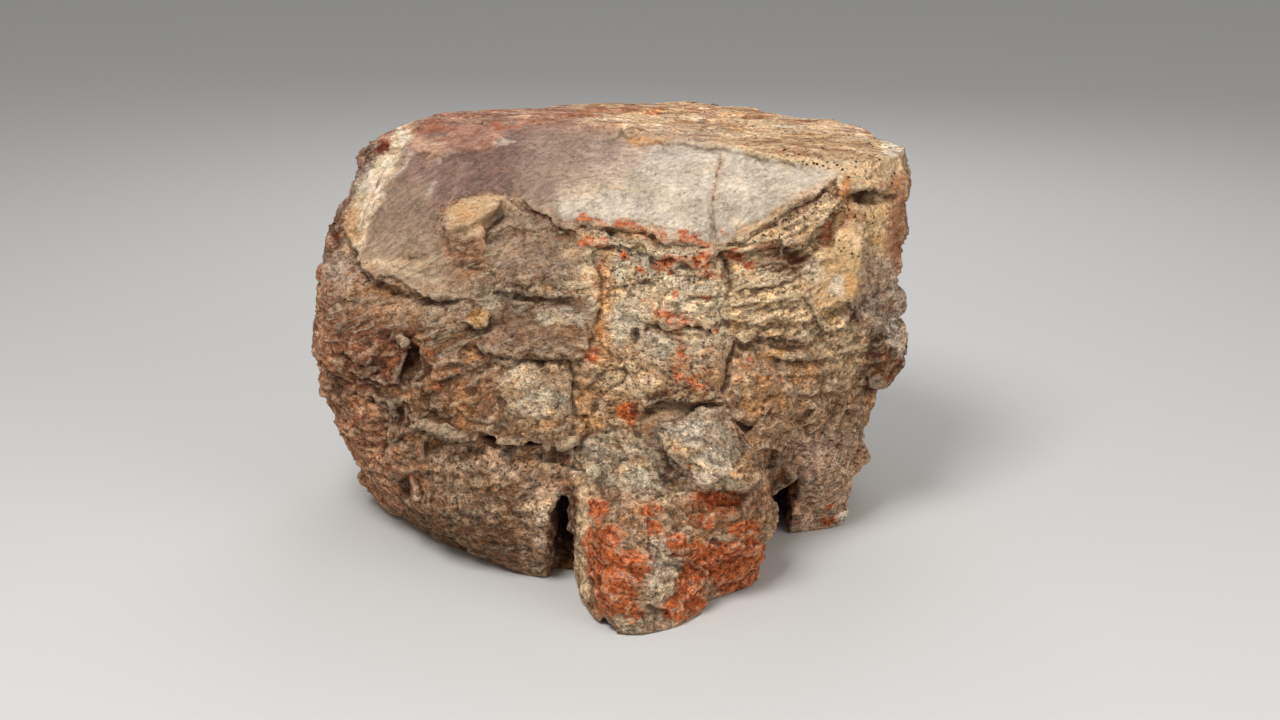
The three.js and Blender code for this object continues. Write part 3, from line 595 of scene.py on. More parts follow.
def thinned(mesh, spare):
    """The mesh with about TRIANGLES triangles left, most of them where `spare` is small."""
    obj = link("fine", mesh)
    group = obj.vertex_groups.new(name="spare")
    steps = np.round(spare * SPARE_STEPS).astype(int)
    for step in range(SPARE_STEPS + 1):
        group.add(np.where(steps == step)[0].tolist(), step / SPARE_STEPS, "REPLACE")
    modifier = obj.modifiers.new("thin", "DECIMATE")
    modifier.ratio = TRIANGLES / (2.0 * len(mesh.vertices))
    modifier.vertex_group = "spare"
    modifier.vertex_group_factor = THINNING_WEIGHT
    modifier.use_collapse_triangulate = True
    thin = evaluated(obj)
    bpy.data.objects.remove(obj)
    return thin


def without_crumbs(mesh):
    """Deletes the few loose specks left by the remesh: only the island that has the highest point stays."""
    shell = bmesh.new()
    shell.from_mesh(mesh)
    highest_point = max(shell.verts, key=lambda vertex: vertex.co.z)
    kept = {highest_point}
    border = [highest_point]
    while border:
        vertex = border.pop()
        others = {edge.other_vert(vertex) for edge in vertex.link_edges} - kept
        kept |= others
        border += others
    bmesh.ops.delete(shell, geom=[vertex for vertex in shell.verts if vertex not in kept], context="VERTS")
    shell.to_mesh(mesh)
    shell.free()
    return mesh


# ---- relief

SLAB_LIP = ([330, 400, 560, 716, 838, 905], [0.46, 0.515, 0.658, 0.632, 0.727, 0.76])  # s, and height in m
LIP_LEVEL = 0.64  # the slab's lip is one bedding plane, counted at this height
DIP = (0.1, -0.06)  # how the beds behind lean along x and y
SHAKE = 4  # units of the sheet by which the regions' edges wander

# Sizes are in m and depths in mm.
BED, THIN_BED = 0.031, 0.0135
THIN_LIP = 0.7
BED_WARP = [(0.012, 0.14, 11), (0.006, 0.04, 12), (0.003, 0.017, 13)]
BED_DEPTH, THIN_BED_DEPTH, LAMINA_DEPTH = 4.0, 0.8, 4.0
BEND = 0.006
FACE, FACE_DEPTH = 0.062, 6.0
SMALL_FACE, SMALL_FACE_DEPTH = 0.027, 4.4
CHIP, CHIP_DEPTH = 0.014, 1.7
FOOT_FACE, FOOT_FACE_DEPTH = 0.034, 2.5
LUMP, LUMP_DEPTH = 0.08, 4.0
GRAIN, GRAIN_DEPTH = 0.013, 0.8
RIDGE, RIDGE_DEPTH = 0.03, 5
BEAD, BEAD_DEPTH = 0.0125, 1.3
SHEET, SHEET_DEPTH, SHEET_COUNT, SHEET_EDGE = 0.13, 1.5, 3.5, 0.12
SHEET_GRAIN = [(0.5, 0.012, 95), (0.9, 0.035, 96)]
PIT, PIT_DEPTH = 0.015, 5.0
WANDER = [(2.2, 0.03, 71), (1.1, 0.011, 73)]  # of the drawn lines, in units of the sheet
GROUND_FADE = 0.02  # the relief fades out towards the ground over this height

VOXEL_SMOOTHING = 9  # rounds that take the voxels' steps out
LAST_SMOOTHING = 0.3
FINE_ROUNDS, BROAD_ROUNDS = 5, 40  # smoothing against which hollows are measured
SEEN_SPARED = 0.5  # how much more of the seen side is kept when the mesh is thinned


def bed_height(points, s, front):
    """Height measured across the beds: level lines of it are bedding lines."""
    x, y, z = points.T
    behind = z + DIP[0] * x + DIP[1] * y
    lip = np.interp(s, *SLAB_LIP)
    return (1 - front) * behind + front * LIP_LEVEL * z / lip


def sawtooth(u, lip=0.82):
    """0 at the top of a bed, rising to 1 at its lower lip, and back."""
    u = 1 - (u - np.floor(u))
    return np.where(u < lip, u / lip, (1 - u) / (1 - lip))


def terraced(h, edge):
    """h rounded down to whole steps, with short slopes between them."""
    whole = np.floor(h)
    return whole + smooth(h - whole, 1 - edge, 1)


def along_beds(points, beds, stretch):
    """Points squeezed along the beds, so that noise of them makes long flat flakes."""
    return np.stack([points[:, 0] / stretch, points[:, 1] / stretch, beds], axis=1)


def relief(p, normals, s, t):
    """The height in mm to add at points p, how dark the painted shade under the ledges is there, and how
    light their tops are, partly wear and partly painted highlight.
    """
    front = facing(p, normals, *FRONT)
    beds = bed_height(p, s, front)
    on_top = smooth(normals[:, 2], 0.8, 0.95)
    shake = SHAKE * noises(p, 0.05, 1, 2)
    shaken = s + shake[:, 0], t + shake[:, 1]

    def region(outline, soft=8):
        return front * inside(outline, *shaken, soft)

    slab, foot, laminae, crumbly = region(SLAB, 5), region(FOOT), region(LAMINAE), region(CRUMBLY, 10)
    grainy = np.maximum(region(GRAINY_LOBE), region(GRAINY_RIGHT))
    calm = highest(CALM, 0, front, *shaken)

    # beds
    warp = summed(p, *BED_WARP)
    thick = sawtooth((beds + warp) / BED)
    thin = sawtooth((beds + 0.7 * warp) / THIN_BED, THIN_LIP)
    patchy = smooth(noise(p, 0.16, 21), -0.3, 0.5)
    broken = smooth(noise(p, 0.035, 22), -0.35, 0.25)
    strength = np.maximum(0.3 + 0.7 * patchy, laminae) * (1 - slab) * (1 - on_top)
    strength *= (1 - 0.9 * grainy) * (1 - 0.8 * foot) * (1 - 0.8 * calm) * (1 - 0.75 * crumbly)
    height = strength * (1 - 0.6 * laminae) * BED_DEPTH * (thick - 0.5)
    thin_depth = THIN_BED_DEPTH + LAMINA_DEPTH * laminae
    height += strength * np.maximum(broken, 0.7 * laminae) * thin_depth * (thin - 0.5)

    # broken faces, larger and smaller, somewhat flattened along the beds
    rough = (1 - 0.9 * np.maximum(slab, on_top)) * (1 - calm)
    bent = p + BEND * noises(p, 0.03, 23, 24, 25)
    large = facets(along_beds(bent, beds, 1.3), FACE, 51)
    small = facets(along_beds(bent, beds, 1.5), SMALL_FACE, 61)
    height += rough * (1 - 0.6 * grainy) * (1 - 0.4 * laminae) * FACE_DEPTH * large
    height += rough * (1 - 0.4 * grainy) * SMALL_FACE_DEPTH * small
    height += (rough + 0.3 * grainy) * CHIP_DEPTH * facets(bent, CHIP, 65)
    height += foot * FOOT_FACE_DEPTH * facets(bent, FOOT_FACE, 67)

    # lumps and grains
    height += rough * (LUMP_DEPTH * fractal(p, LUMP, 3, 31) + GRAIN_DEPTH * noise(p, GRAIN, 41))
    ridges = 1 - np.abs(fractal(p, RIDGE, 2, 81))
    height += (grainy + 0.6 * foot) * RIDGE_DEPTH * (ridges - 0.8)
    height += (grainy + 0.7 * foot) * BEAD_DEPTH * noise(p, BEAD, 85)

    # the slab and the plateau: thin sheets with broken edges
    sheets = SHEET_COUNT * fractal(p * [0.6, 1.0, 1.0], SHEET, 3, 91)
    height += (slab + 1.1 * on_top * (1 - slab)) * SHEET_DEPTH * terraced(sheets, SHEET_EDGE)
    height += (slab + on_top) * summed(p, *SHEET_GRAIN)

    # pits in the right corner
    near, number = cells(p, PIT, 97)
    height -= PIT_DEPTH * region(PITTED, 6) * smooth(-near, -0.4, -0.22) * (number > 0.4)

    wander = sum(amount * noises(p, size, seed, seed + 1) for amount, size, seed in WANDER)
    seen = facing(p, normals, -0.05, 0.2)
    drawn_height, ledge_shade, edge = carved_front(s, t, wander)
    return height + seen * drawn_height, seen * ledge_shade, seen * edge


def carved(node):
    """The node's mesh remeshed finely, with the relief carved into it and its hollows, the painted shade
    under its ledges and the lighter bands on their tops stored.
    """
    skin = Skin(remeshed(node.data))
    skin.points = skin.smoothed(skin.points, VOXEL_SMOOTHING)
    normals = skin.normals()
    p = skin.points
    height, ledge_shade, edge = relief(p, normals, *drawn(p))
    height *= smooth(p[:, 2], 0.0, GROUND_FADE)
    skin.points = p + normals * (height * MM)[:, None]
    skin.points = skin.smoothed(skin.points, 1, LAST_SMOOTHING)
    skin.points = np.clip(skin.points, cad_low, cad_high)
    skin.write()
    store(skin.mesh, "fine_hollow", skin.hollowness(FINE_ROUNDS))
    store(skin.mesh, "broad_hollow", skin.hollowness(BROAD_ROUNDS))
    store(skin.mesh, "ledge_shade", ledge_shade)
    store(skin.mesh, "edge", edge)
    seen = facing(skin.points, skin.normals(), -0.1, 0.1)
    return without_crumbs(thinned(skin.mesh, 1 - SEEN_SPARED * seen))


# ---- paint

# Colours as they look on the screen, 0 to 255.
PALETTE = {
    "pinkbrown": (170, 130, 112), "orangetan": (214, 184, 150), "redstreak": (166, 100, 72),
    "cream": (220, 190, 152), "pale": (198, 187, 170), "white": (238, 226, 206),
    "slabgrey": (160, 140, 124), "plum": (134, 109, 98), "plumdark": (122, 98, 90), "tan": (170, 137, 108),
    "lowtan": (150, 128, 106), "creamband": (232, 210, 178), "leftpurple": (150, 112, 90),
    "rustrim": (166, 112, 80), "brownred": (120, 76, 54), "darkred": (112, 55, 38),
    "flakebrown": (178, 132, 102), "umber": (106, 73, 48), "lobe": (130, 101, 76), "toe": (190, 160, 132),
    "greyblock": (164, 140, 112), "midgrey": (206, 188, 158), "ochre": (196, 142, 88),
    "gold": (212, 160, 98), "redmid": (160, 104, 74), "footgrey": (168, 136, 108), "heel": (146, 100, 66),
    "chunk": (178, 162, 138), "rightlobe": (190, 162, 138), "laminae": (232, 204, 162),
    "flaketan": (218, 184, 138), "sidepink": (176, 130, 98), "sidepurple": (186, 162, 140),
    "beak": (84, 57, 38), "lowwall": (170, 138, 108), "centrelow": (168, 134, 100),
    # The darkest brown, (90, 62, 43), on the next line is painted shade.
    "painted_shade": (90, 62, 43), "ash": (172, 160, 138), "veneer": (186, 150, 126), "knob": (208, 172, 130),
    "goldcream": (218, 186, 142), "greycream": (212, 202, 178), "painted_rim_light": (190, 136, 104),
    "slabbrown": (150, 131, 111), "slablow": (158, 135, 114), "strip": (142, 114, 92),
    "redstrata": (142, 84, 58), "palestrata": (226, 200, 164), "bedtop": (228, 208, 178),
    "bedgap": (96, 68, 48), "vein": (186, 118, 64), "crack": (72, 48, 34), "darkrust": (152, 54, 22),
    "lightrust": (216, 102, 40), "halo": (190, 104, 60), "crust": (226, 196, 164),
    "worn_lit_edge": (226, 203, 170), "shade_in_hollows": (58, 39, 28), "speck": (64, 45, 34), "pit_shade": (48, 34, 27),
}

# Painted areas, each (colour, strength, softness in units, outline), the first painted undermost.
AREAS = [
    ("pinkbrown", 1, 8, [395, 95, 640, 95, 650, 132, 560, 126, 470, 126, 400, 134]),
    ("orangetan", 0.9, 9, [560, 95, 800, 100, 850, 130, 760, 143, 640, 137, 590, 122]),
    ("cream", 0.95, 9, [770, 116, 860, 118, 915, 130, 915, 196, 845, 184, 800, 172, 735, 152, 700, 147]),
    ("plum", 1, 13, [430, 122, 470, 124, 560, 127, 606, 146, 580, 172, 556, 192, 545, 213, 508, 200,
        465, 193, 444, 205, 436, 240, 400, 262, 356, 256, 364, 215, 388, 172, 412, 142]),
    ("plumdark", 0.7, 18, [450, 146, 500, 142, 512, 180, 490, 192, 450, 196]),
    ("slabgrey", 0.9, 18, [535, 130, 600, 134, 622, 150, 585, 176, 556, 214, 524, 206, 520, 170]),
    ("pale", 0.75, 26, [566, 200, 590, 170, 616, 142, 720, 146, 717, 243, 656, 237, 614, 228]),
    ("pale", 1, 5, [557, 194, 600, 188, 632, 172, 660, 142, 720, 146, 717, 243, 656, 237, 614, 228,
        578, 221, 556, 215]),
    ("pale", 0.95, 5, [721, 146, 764, 158, 804, 168, 840, 176, 820, 190, 796, 204, 776, 217, 750, 231,
        716, 244]),
    ("slabbrown", 0.75, 14, [384, 172, 420, 182, 440, 206, 436, 250, 450, 286, 400, 282, 366, 262,
        364, 222]),
    ("slablow", 0.6, 10, [356, 212, 440, 224, 452, 256, 470, 296, 420, 294, 394, 280, 372, 279, 354, 256]),
    ("creamband", 1, 3, CREAM_BAND),
    ("leftpurple", 0.9, 8, [310, 240, 340, 236, 358, 256, 372, 281, 400, 292, 400, 322, 310, 322]),
    ("lowtan", 0.9, 10, [400, 296, 470, 298, 592, 300, 592, 352, 500, 362, 470, 346, 396, 326]),
    ("strip", 0.85, 5, [490, 312, 560, 314, 592, 314, 592, 348, 500, 352, 470, 342]),
    ("lowtan", 0.9, 6, [506, 200, 535, 212, 556, 216, 580, 236, 592, 300, 470, 298, 480, 262, 484, 222]),
    ("brownred", 0.95, 9, [305, 316, 400, 322, 430, 332, 420, 362, 402, 396, 310, 400]),
    ("flakebrown", 0.95, 10, [310, 388, 400, 396, 404, 440, 412, 500, 424, 520, 340, 500]),
    ("tan", 0.7, 7, [340, 288, 366, 284, 420, 300, 424, 320, 380, 322, 340, 312]),
    # Painted light: the left rim lit warm.
    ("painted_rim_light", 0.8, 6, [300, 276, 326, 284, 332, 330, 330, 380, 346, 430, 372, 480, 340, 480, 300, 400]),
    ("umber", 0.85, 9, [412, 330, 480, 346, 505, 362, 508, 424, 430, 424, 404, 400]),
    ("greyblock", 0.9, 12, [500, 358, 580, 360, 578, 446, 540, 444, 500, 424]),
    ("lobe", 1, 7, [406, 422, 450, 430, 520, 442, 578, 448, 580, 582, 520, 582, 424, 552, 404, 505]),
    ("toe", 0.9, 6, [530, 470, 566, 462, 566, 498, 556, 580, 524, 580, 520, 520]),
    ("midgrey", 0.95, 7, [584, 226, 656, 240, 716, 246, 724, 300, 734, 336, 724, 402, 600, 404, 588, 300]),
    ("greycream", 0.75, 8, [602, 254, 650, 250, 664, 290, 660, 340, 612, 346, 606, 300]),
    ("centrelow", 0.8, 10, [580, 350, 660, 342, 732, 346, 728, 402, 650, 430, 582, 436]),
    ("ochre", 0.65, 5, [597, 246, 613, 250, 614, 300, 612, 352, 597, 352, 603, 300]),
    ("laminae", 0.95, 7, [720, 246, 776, 222, 842, 196, 852, 230, 824, 300, 860, 330, 735, 344, 724, 300]),
    ("lowwall", 0.95, 10, [726, 342, 800, 346, 876, 332, 880, 396, 862, 440, 760, 444, 726, 404]),
    ("flaketan", 0.95, 5, [836, 206, 858, 206, 870, 248, 860, 300, 838, 308, 816, 312, 824, 260]),
    ("goldcream", 0.9, 7, [845, 188, 896, 186, 888, 262, 872, 266, 862, 216]),
    ("sidepink", 0.9, 6, [888, 176, 915, 168, 915, 262, 880, 268, 884, 216]),
    ("sidepurple", 0.95, 8, [864, 254, 912, 258, 912, 334, 870, 342, 856, 312]),
    ("beak", 0.95, 6, [868, 334, 914, 330, 914, 394, 866, 394]),
    ("chunk", 0.95, 5, [654, 428, 690, 413, 712, 404, 728, 420, 740, 440, 757, 462, 760, 492, 704, 493,
        676, 482, 660, 468]),
    ("footgrey", 1, 7, [578, 446, 600, 482, 660, 480, 700, 494, 772, 480, 770, 545, 752, 602, 630, 642,
        570, 604]),
    ("ash", 0.9, 7, [578, 440, 610, 430, 652, 436, 664, 470, 690, 492, 640, 496, 600, 486, 582, 472]),
    ("greycream", 0.75, 5, [648, 542, 662, 546, 676, 566, 672, 580, 656, 600, 640, 616, 644, 590,
        650, 566]),
    ("ash", 0.7, 6, [616, 618, 652, 612, 672, 618, 660, 634, 626, 640]),
    # The next two areas, in the darkest brown, are painted shade in the foot's crevices.
    ("painted_shade", 0.55, 5, [580, 566, 590, 566, 596, 590, 600, 616, 586, 610, 578, 590]),
    ("painted_shade", 0.5, 7, [666, 504, 688, 508, 690, 530, 674, 540, 664, 524]),
    ("rightlobe", 0.95, 7, [784, 440, 830, 430, 880, 428, 880, 480, 856, 530, 784, 534, 790, 476]),
    ("heel", 0.75, 8, [686, 498, 768, 486, 752, 532, 700, 528]),
    ("knob", 0.95, 4, [442, 222, 447, 209, 456, 202, 480, 195, 504, 196, 498, 208, 486, 219, 474, 228,
        452, 228]),
    ("flakebrown", 0.5, 4, [444, 228, 474, 228, 486, 222, 484, 250, 476, 262, 446, 254]),
    ("tan", 0.6, 6, [748, 452, 796, 450, 800, 476, 770, 480, 752, 474]),
]

# Smaller touches, each (colour, strength, middle s and t, half sizes). Those in the darkest brown, (90, 62,
# 43), are painted shade under ledges and in crevices, joints and the slot.
DABS = [
    ("redstreak", 0.5, 438, 127, 22, 5), ("ochre", 0.5, 408, 136, 6, 5), ("veneer", 0.7, 432, 146, 24, 10),
    ("pinkbrown", 0.8, 478, 138, 26, 12), ("white", 0.35, 504, 143, 9, 4),
    ("redstreak", 0.7, 501, 128, 6, 3), ("redstreak", 0.5, 630, 112, 70, 5),
    ("redstreak", 0.5, 740, 112, 60, 4), ("cream", 0.85, 680, 118, 74, 6),
    ("redstreak", 0.6, 795, 121, 12, 4), ("gold", 0.3, 820, 130, 34, 9), ("cream", 0.2, 780, 122, 50, 6),
    ("white", 0.85, 892, 147, 9, 9), ("gold", 0.6, 648, 142, 20, 5), ("white", 0.5, 402, 134, 8, 7),
    ("white", 0.6, 362, 180, 9, 11), ("gold", 0.6, 367, 198, 7, 4), ("ochre", 0.5, 352, 228, 9, 18),
    ("darkred", 0.9, 379, 146, 5, 6), ("brownred", 0.8, 352, 170, 9, 8), ("darkred", 1, 337, 228, 8, 16),
    ("rustrim", 0.8, 318, 271, 8, 11), ("white", 0.2, 336, 268, 14, 18), ("ochre", 0.25, 395, 293, 26, 7),
    ("goldcream", 0.2, 402, 264, 38, 10), ("umber", 0.25, 446, 282, 24, 7),
    ("greycream", 0.5, 562, 318, 24, 7), ("painted_shade", 0.4, 545, 338, 36, 6),
    # The first dab on this line, in umber, is painted shade.
    ("umber", 0.5, 452, 338, 26, 9), ("footgrey", 0.5, 446, 362, 18, 9),
    ("slabgrey", 0.5, 530, 262, 34, 10), ("painted_shade", 0.6, 415, 254, 12, 3),
    ("painted_shade", 0.7, 468, 264, 12, 6), ("gold", 0.9, 479, 317, 10, 10), ("tan", 0.7, 456, 320, 12, 6),
    ("brownred", 0.6, 358, 318, 8, 8), ("painted_shade", 0.45, 548, 302, 44, 6), ("gold", 0.25, 545, 290, 8, 4),
    ("cream", 0.5, 585, 282, 14, 9), ("cream", 0.5, 570, 254, 11, 6), ("chunk", 0.6, 628, 238, 24, 7),
    # The first two dabs on this line lighten the shade under the slab's lip and under the chunk: painted
    # light.
    ("cream", 0.6, 632, 232, 24, 4), ("chunk", 0.6, 680, 458, 13, 8), ("painted_shade", 0.6, 713, 263, 9, 6),
    ("white", 0.5, 896, 335, 10, 16), ("white", 0.35, 896, 290, 6, 20), ("laminae", 0.4, 840, 350, 24, 26),
    ("umber", 0.4, 622, 468, 20, 10), ("umber", 0.35, 600, 450, 12, 8), ("creamband", 0.6, 577, 462, 7, 16),
    ("white", 0.5, 684, 432, 22, 13), ("white", 0.4, 704, 474, 16, 10), ("white", 0.4, 612, 446, 26, 8),
    ("painted_shade", 0.6, 667, 464, 9, 16), ("ochre", 0.5, 745, 470, 8, 18), ("cream", 0.5, 640, 300, 30, 22),
    ("greycream", 0.6, 634, 268, 22, 13), ("greycream", 0.5, 622, 312, 16, 15),
    ("greycream", 0.5, 654, 348, 22, 12), ("greycream", 0.4, 688, 286, 16, 8),
    ("greycream", 0.25, 702, 350, 20, 16), ("ochre", 0.3, 690, 336, 24, 5),
    ("ochre", 0.45, 760, 400, 22, 12), ("ochre", 0.45, 800, 372, 20, 10), ("cream", 0.5, 742, 385, 14, 12),
    ("gold", 0.35, 600, 362, 14, 10), ("ochre", 0.5, 590, 420, 10, 14), ("ochre", 0.6, 610, 372, 9, 5),
    ("cream", 0.6, 630, 382, 32, 16), ("painted_shade", 0.8, 661, 395, 12, 6),
    ("greyblock", 0.6, 672, 412, 22, 10), ("cream", 0.5, 638, 438, 14, 8),
    ("creamband", 0.5, 524, 374, 18, 11), ("greycream", 0.4, 545, 400, 20, 18),
    ("slabgrey", 0.2, 520, 345, 30, 9), ("lowtan", 0.4, 470, 372, 20, 12),
    ("painted_shade", 0.8, 407, 344, 6, 9), ("painted_shade", 0.9, 407, 368, 8, 18),
    ("painted_shade", 0.8, 388, 396, 13, 9), ("painted_shade", 0.8, 394, 420, 8, 20), ("ochre", 0.6, 418, 340, 7, 5),
    ("white", 0.5, 440, 356, 5, 4), ("ochre", 0.4, 472, 358, 6, 7), ("ochre", 0.2, 464, 400, 12, 14),
    ("flakebrown", 0.6, 490, 408, 12, 12), ("painted_shade", 0.6, 444, 428, 28, 6),
    ("painted_shade", 0.25, 500, 435, 40, 5), ("painted_shade", 0.25, 548, 449, 26, 5),
    # The first dab on this line lightens the shade on the lobe's top under the brow: painted light.
    ("toe", 0.95, 488, 458, 60, 17), ("painted_shade", 0.6, 406, 492, 8, 16),
    ("flakebrown", 0.6, 420, 470, 6, 30), ("flakebrown", 0.5, 422, 496, 8, 20),
    ("cream", 0.5, 548, 464, 20, 4), ("white", 0.35, 540, 530, 6, 16), ("lowtan", 0.4, 470, 500, 34, 22),
    ("umber", 0.3, 430, 530, 24, 14), ("painted_shade", 1, 568, 520, 10, 34),
    ("painted_shade", 0.6, 566, 563, 10, 14), ("cream", 0.8, 583, 530, 7, 74), ("ochre", 0.5, 583, 398, 6, 14),
    ("chunk", 0.5, 612, 458, 34, 20), ("greycream", 0.4, 636, 476, 16, 8), ("ash", 0.5, 604, 448, 16, 10),
    ("white", 0.35, 712, 466, 18, 14), ("painted_shade", 0.6, 672, 482, 9, 6), ("cream", 0.5, 665, 494, 11, 4),
    ("umber", 0.5, 688, 511, 14, 8), ("chunk", 0.6, 664, 575, 14, 22), ("lowtan", 0.6, 654, 618, 24, 16),
    ("painted_shade", 0.5, 683, 548, 10, 9), ("ochre", 0.6, 768, 488, 5, 9), ("painted_shade", 1, 783, 496, 10, 22),
    ("umber", 0.6, 774, 464, 20, 8), ("brownred", 0.6, 790, 521, 10, 6), ("white", 0.8, 846, 518, 6, 5),
    # The umber dab at (786, 264) darkens the cavity under the slab's lip: painted shade.
    ("redmid", 0.6, 775, 244, 26, 4), ("cream", 0.7, 790, 226, 36, 13), ("umber", 0.85, 786, 264, 30, 11),
    ("ochre", 0.8, 844, 189, 6, 11), ("painted_shade", 0.9, 868, 197, 20, 6), ("redmid", 0.6, 846, 215, 6, 14),
    ("white", 0.5, 838, 284, 8, 9), ("gold", 0.5, 853, 285, 8, 14), ("creamband", 0.6, 814, 270, 11, 9),
    ("gold", 0.5, 772, 354, 18, 5), ("cream", 0.8, 905, 338, 5, 4), ("painted_shade", 0.7, 890, 372, 12, 14),
    ("goldcream", 0.7, 873, 218, 11, 27), ("rustrim", 0.5, 898, 236, 5, 44),
    ("cream", 0.5, 880, 170, 16, 8), ("sidepink", 0.5, 858, 458, 10, 16),
]

# Red and orange stains, each (strength, middle s and t, half sizes).
STAINS = [
    (0.55, 582, 219, 9, 6), (0.45, 618, 223, 28, 4), (0.55, 606, 226, 7, 4), (0.5, 670, 235, 30, 9),
    (0.75, 586, 241, 10, 6), (0.6, 606, 241, 7, 4), (0.6, 722, 232, 5, 3), (0.85, 664, 264, 13, 8),
    (0.65, 690, 262, 11, 8), (0.85, 707, 255, 9, 3), (0.9, 736, 256, 10, 7), (0.7, 712, 275, 12, 5),
    (0.55, 671, 275, 5, 3), (0.6, 700, 297, 10, 3), (0.55, 675, 294, 6, 5), (0.6, 680, 324, 6, 12),
    (0.55, 718, 332, 5, 3), (0.7, 591, 357, 9, 8), (0.42, 681, 362, 8, 22), (1.0, 627, 413, 9, 9),
    (0.35, 600, 262, 6, 9), (0.3, 602, 336, 7, 12), (0.75, 428, 355, 5, 5), (0.45, 390, 464, 10, 12),
    (0.5, 390, 408, 4, 5), (0.5, 778, 381, 5, 4), (0.5, 882, 185, 8, 4), (0.45, 828, 234, 8, 12),
    (0.25, 890, 368, 12, 22), (0.6, 830, 509, 6, 5), (0.6, 827, 521, 8, 4), (0.25, 750, 370, 24, 20),
    (0.55, 768, 246, 14, 4), (0.4, 370, 272, 8, 8), (0.25, 360, 420, 24, 20), (0.45, 664, 316, 10, 10),
    (0.5, 642, 268, 8, 5), (0.3, 652, 300, 9, 8), (0.4, 700, 380, 14, 16), (0.25, 450, 380, 26, 18),
    (0.85, 598, 508, 12, 12), (0.75, 604, 538, 20, 15), (0.95, 600, 560, 14, 22), (0.9, 628, 566, 20, 20),
    (1.0, 612, 592, 20, 22), (0.6, 632, 610, 12, 12), (0.55, 652, 505, 10, 12), (0.6, 650, 528, 10, 12),
    (0.62, 714, 502, 30, 14), (0.5, 700, 520, 14, 10), (0.8, 679, 544, 14, 10), (1.3, 745, 570, 34, 28),
    (1.1, 752, 590, 16, 14), (1.1, 762, 562, 9, 22), (1.0, 705, 560, 22, 20), (0.95, 690, 590, 14, 26),
    (0.85, 676, 608, 16, 12), (0.7, 745, 530, 18, 8), (0.15, 345, 350, 26, 22),
]

# Thin stains along the beds' edges, each (strength, half width, line).
STAIN_LINES = [
    (0.62, 3, [582, 218, 602, 223, 628, 227, 656, 231]),
    (0.66, 3.5, [672, 234, 690, 239, 706, 244, 720, 250]),
    (0.58, 3.5, [586, 240, 604, 246, 622, 253, 634, 258]),
    (0.72, 4, [654, 254, 672, 259, 690, 264, 706, 266, 720, 260]),
    (0.66, 4, [728, 258, 740, 262, 752, 268, 757, 274]),
    (0.55, 2.5, [690, 273, 702, 275, 714, 278]),
    (0.58, 2.5, [686, 296, 700, 299, 717, 299]),
    (0.6, 2.2, [646, 318, 664, 321, 684, 320, 704, 326, 722, 330]),
    (0.5, 3, [684, 320, 682, 340, 679, 360, 686, 382]),
    (0.5, 2, [748, 219, 760, 221, 774, 218]),
    (0.5, 2.5, [588, 330, 592, 346, 600, 360]),
    (0.55, 3, [838, 206, 830, 222, 824, 240]),
    (0.5, 2.5, [664, 436, 676, 450, 690, 468, 712, 484]),
    (0.5, 2.5, [404, 338, 424, 352, 446, 366, 470, 382]),
    (0.45, 2.5, [404, 460, 412, 480, 418, 502]),
]
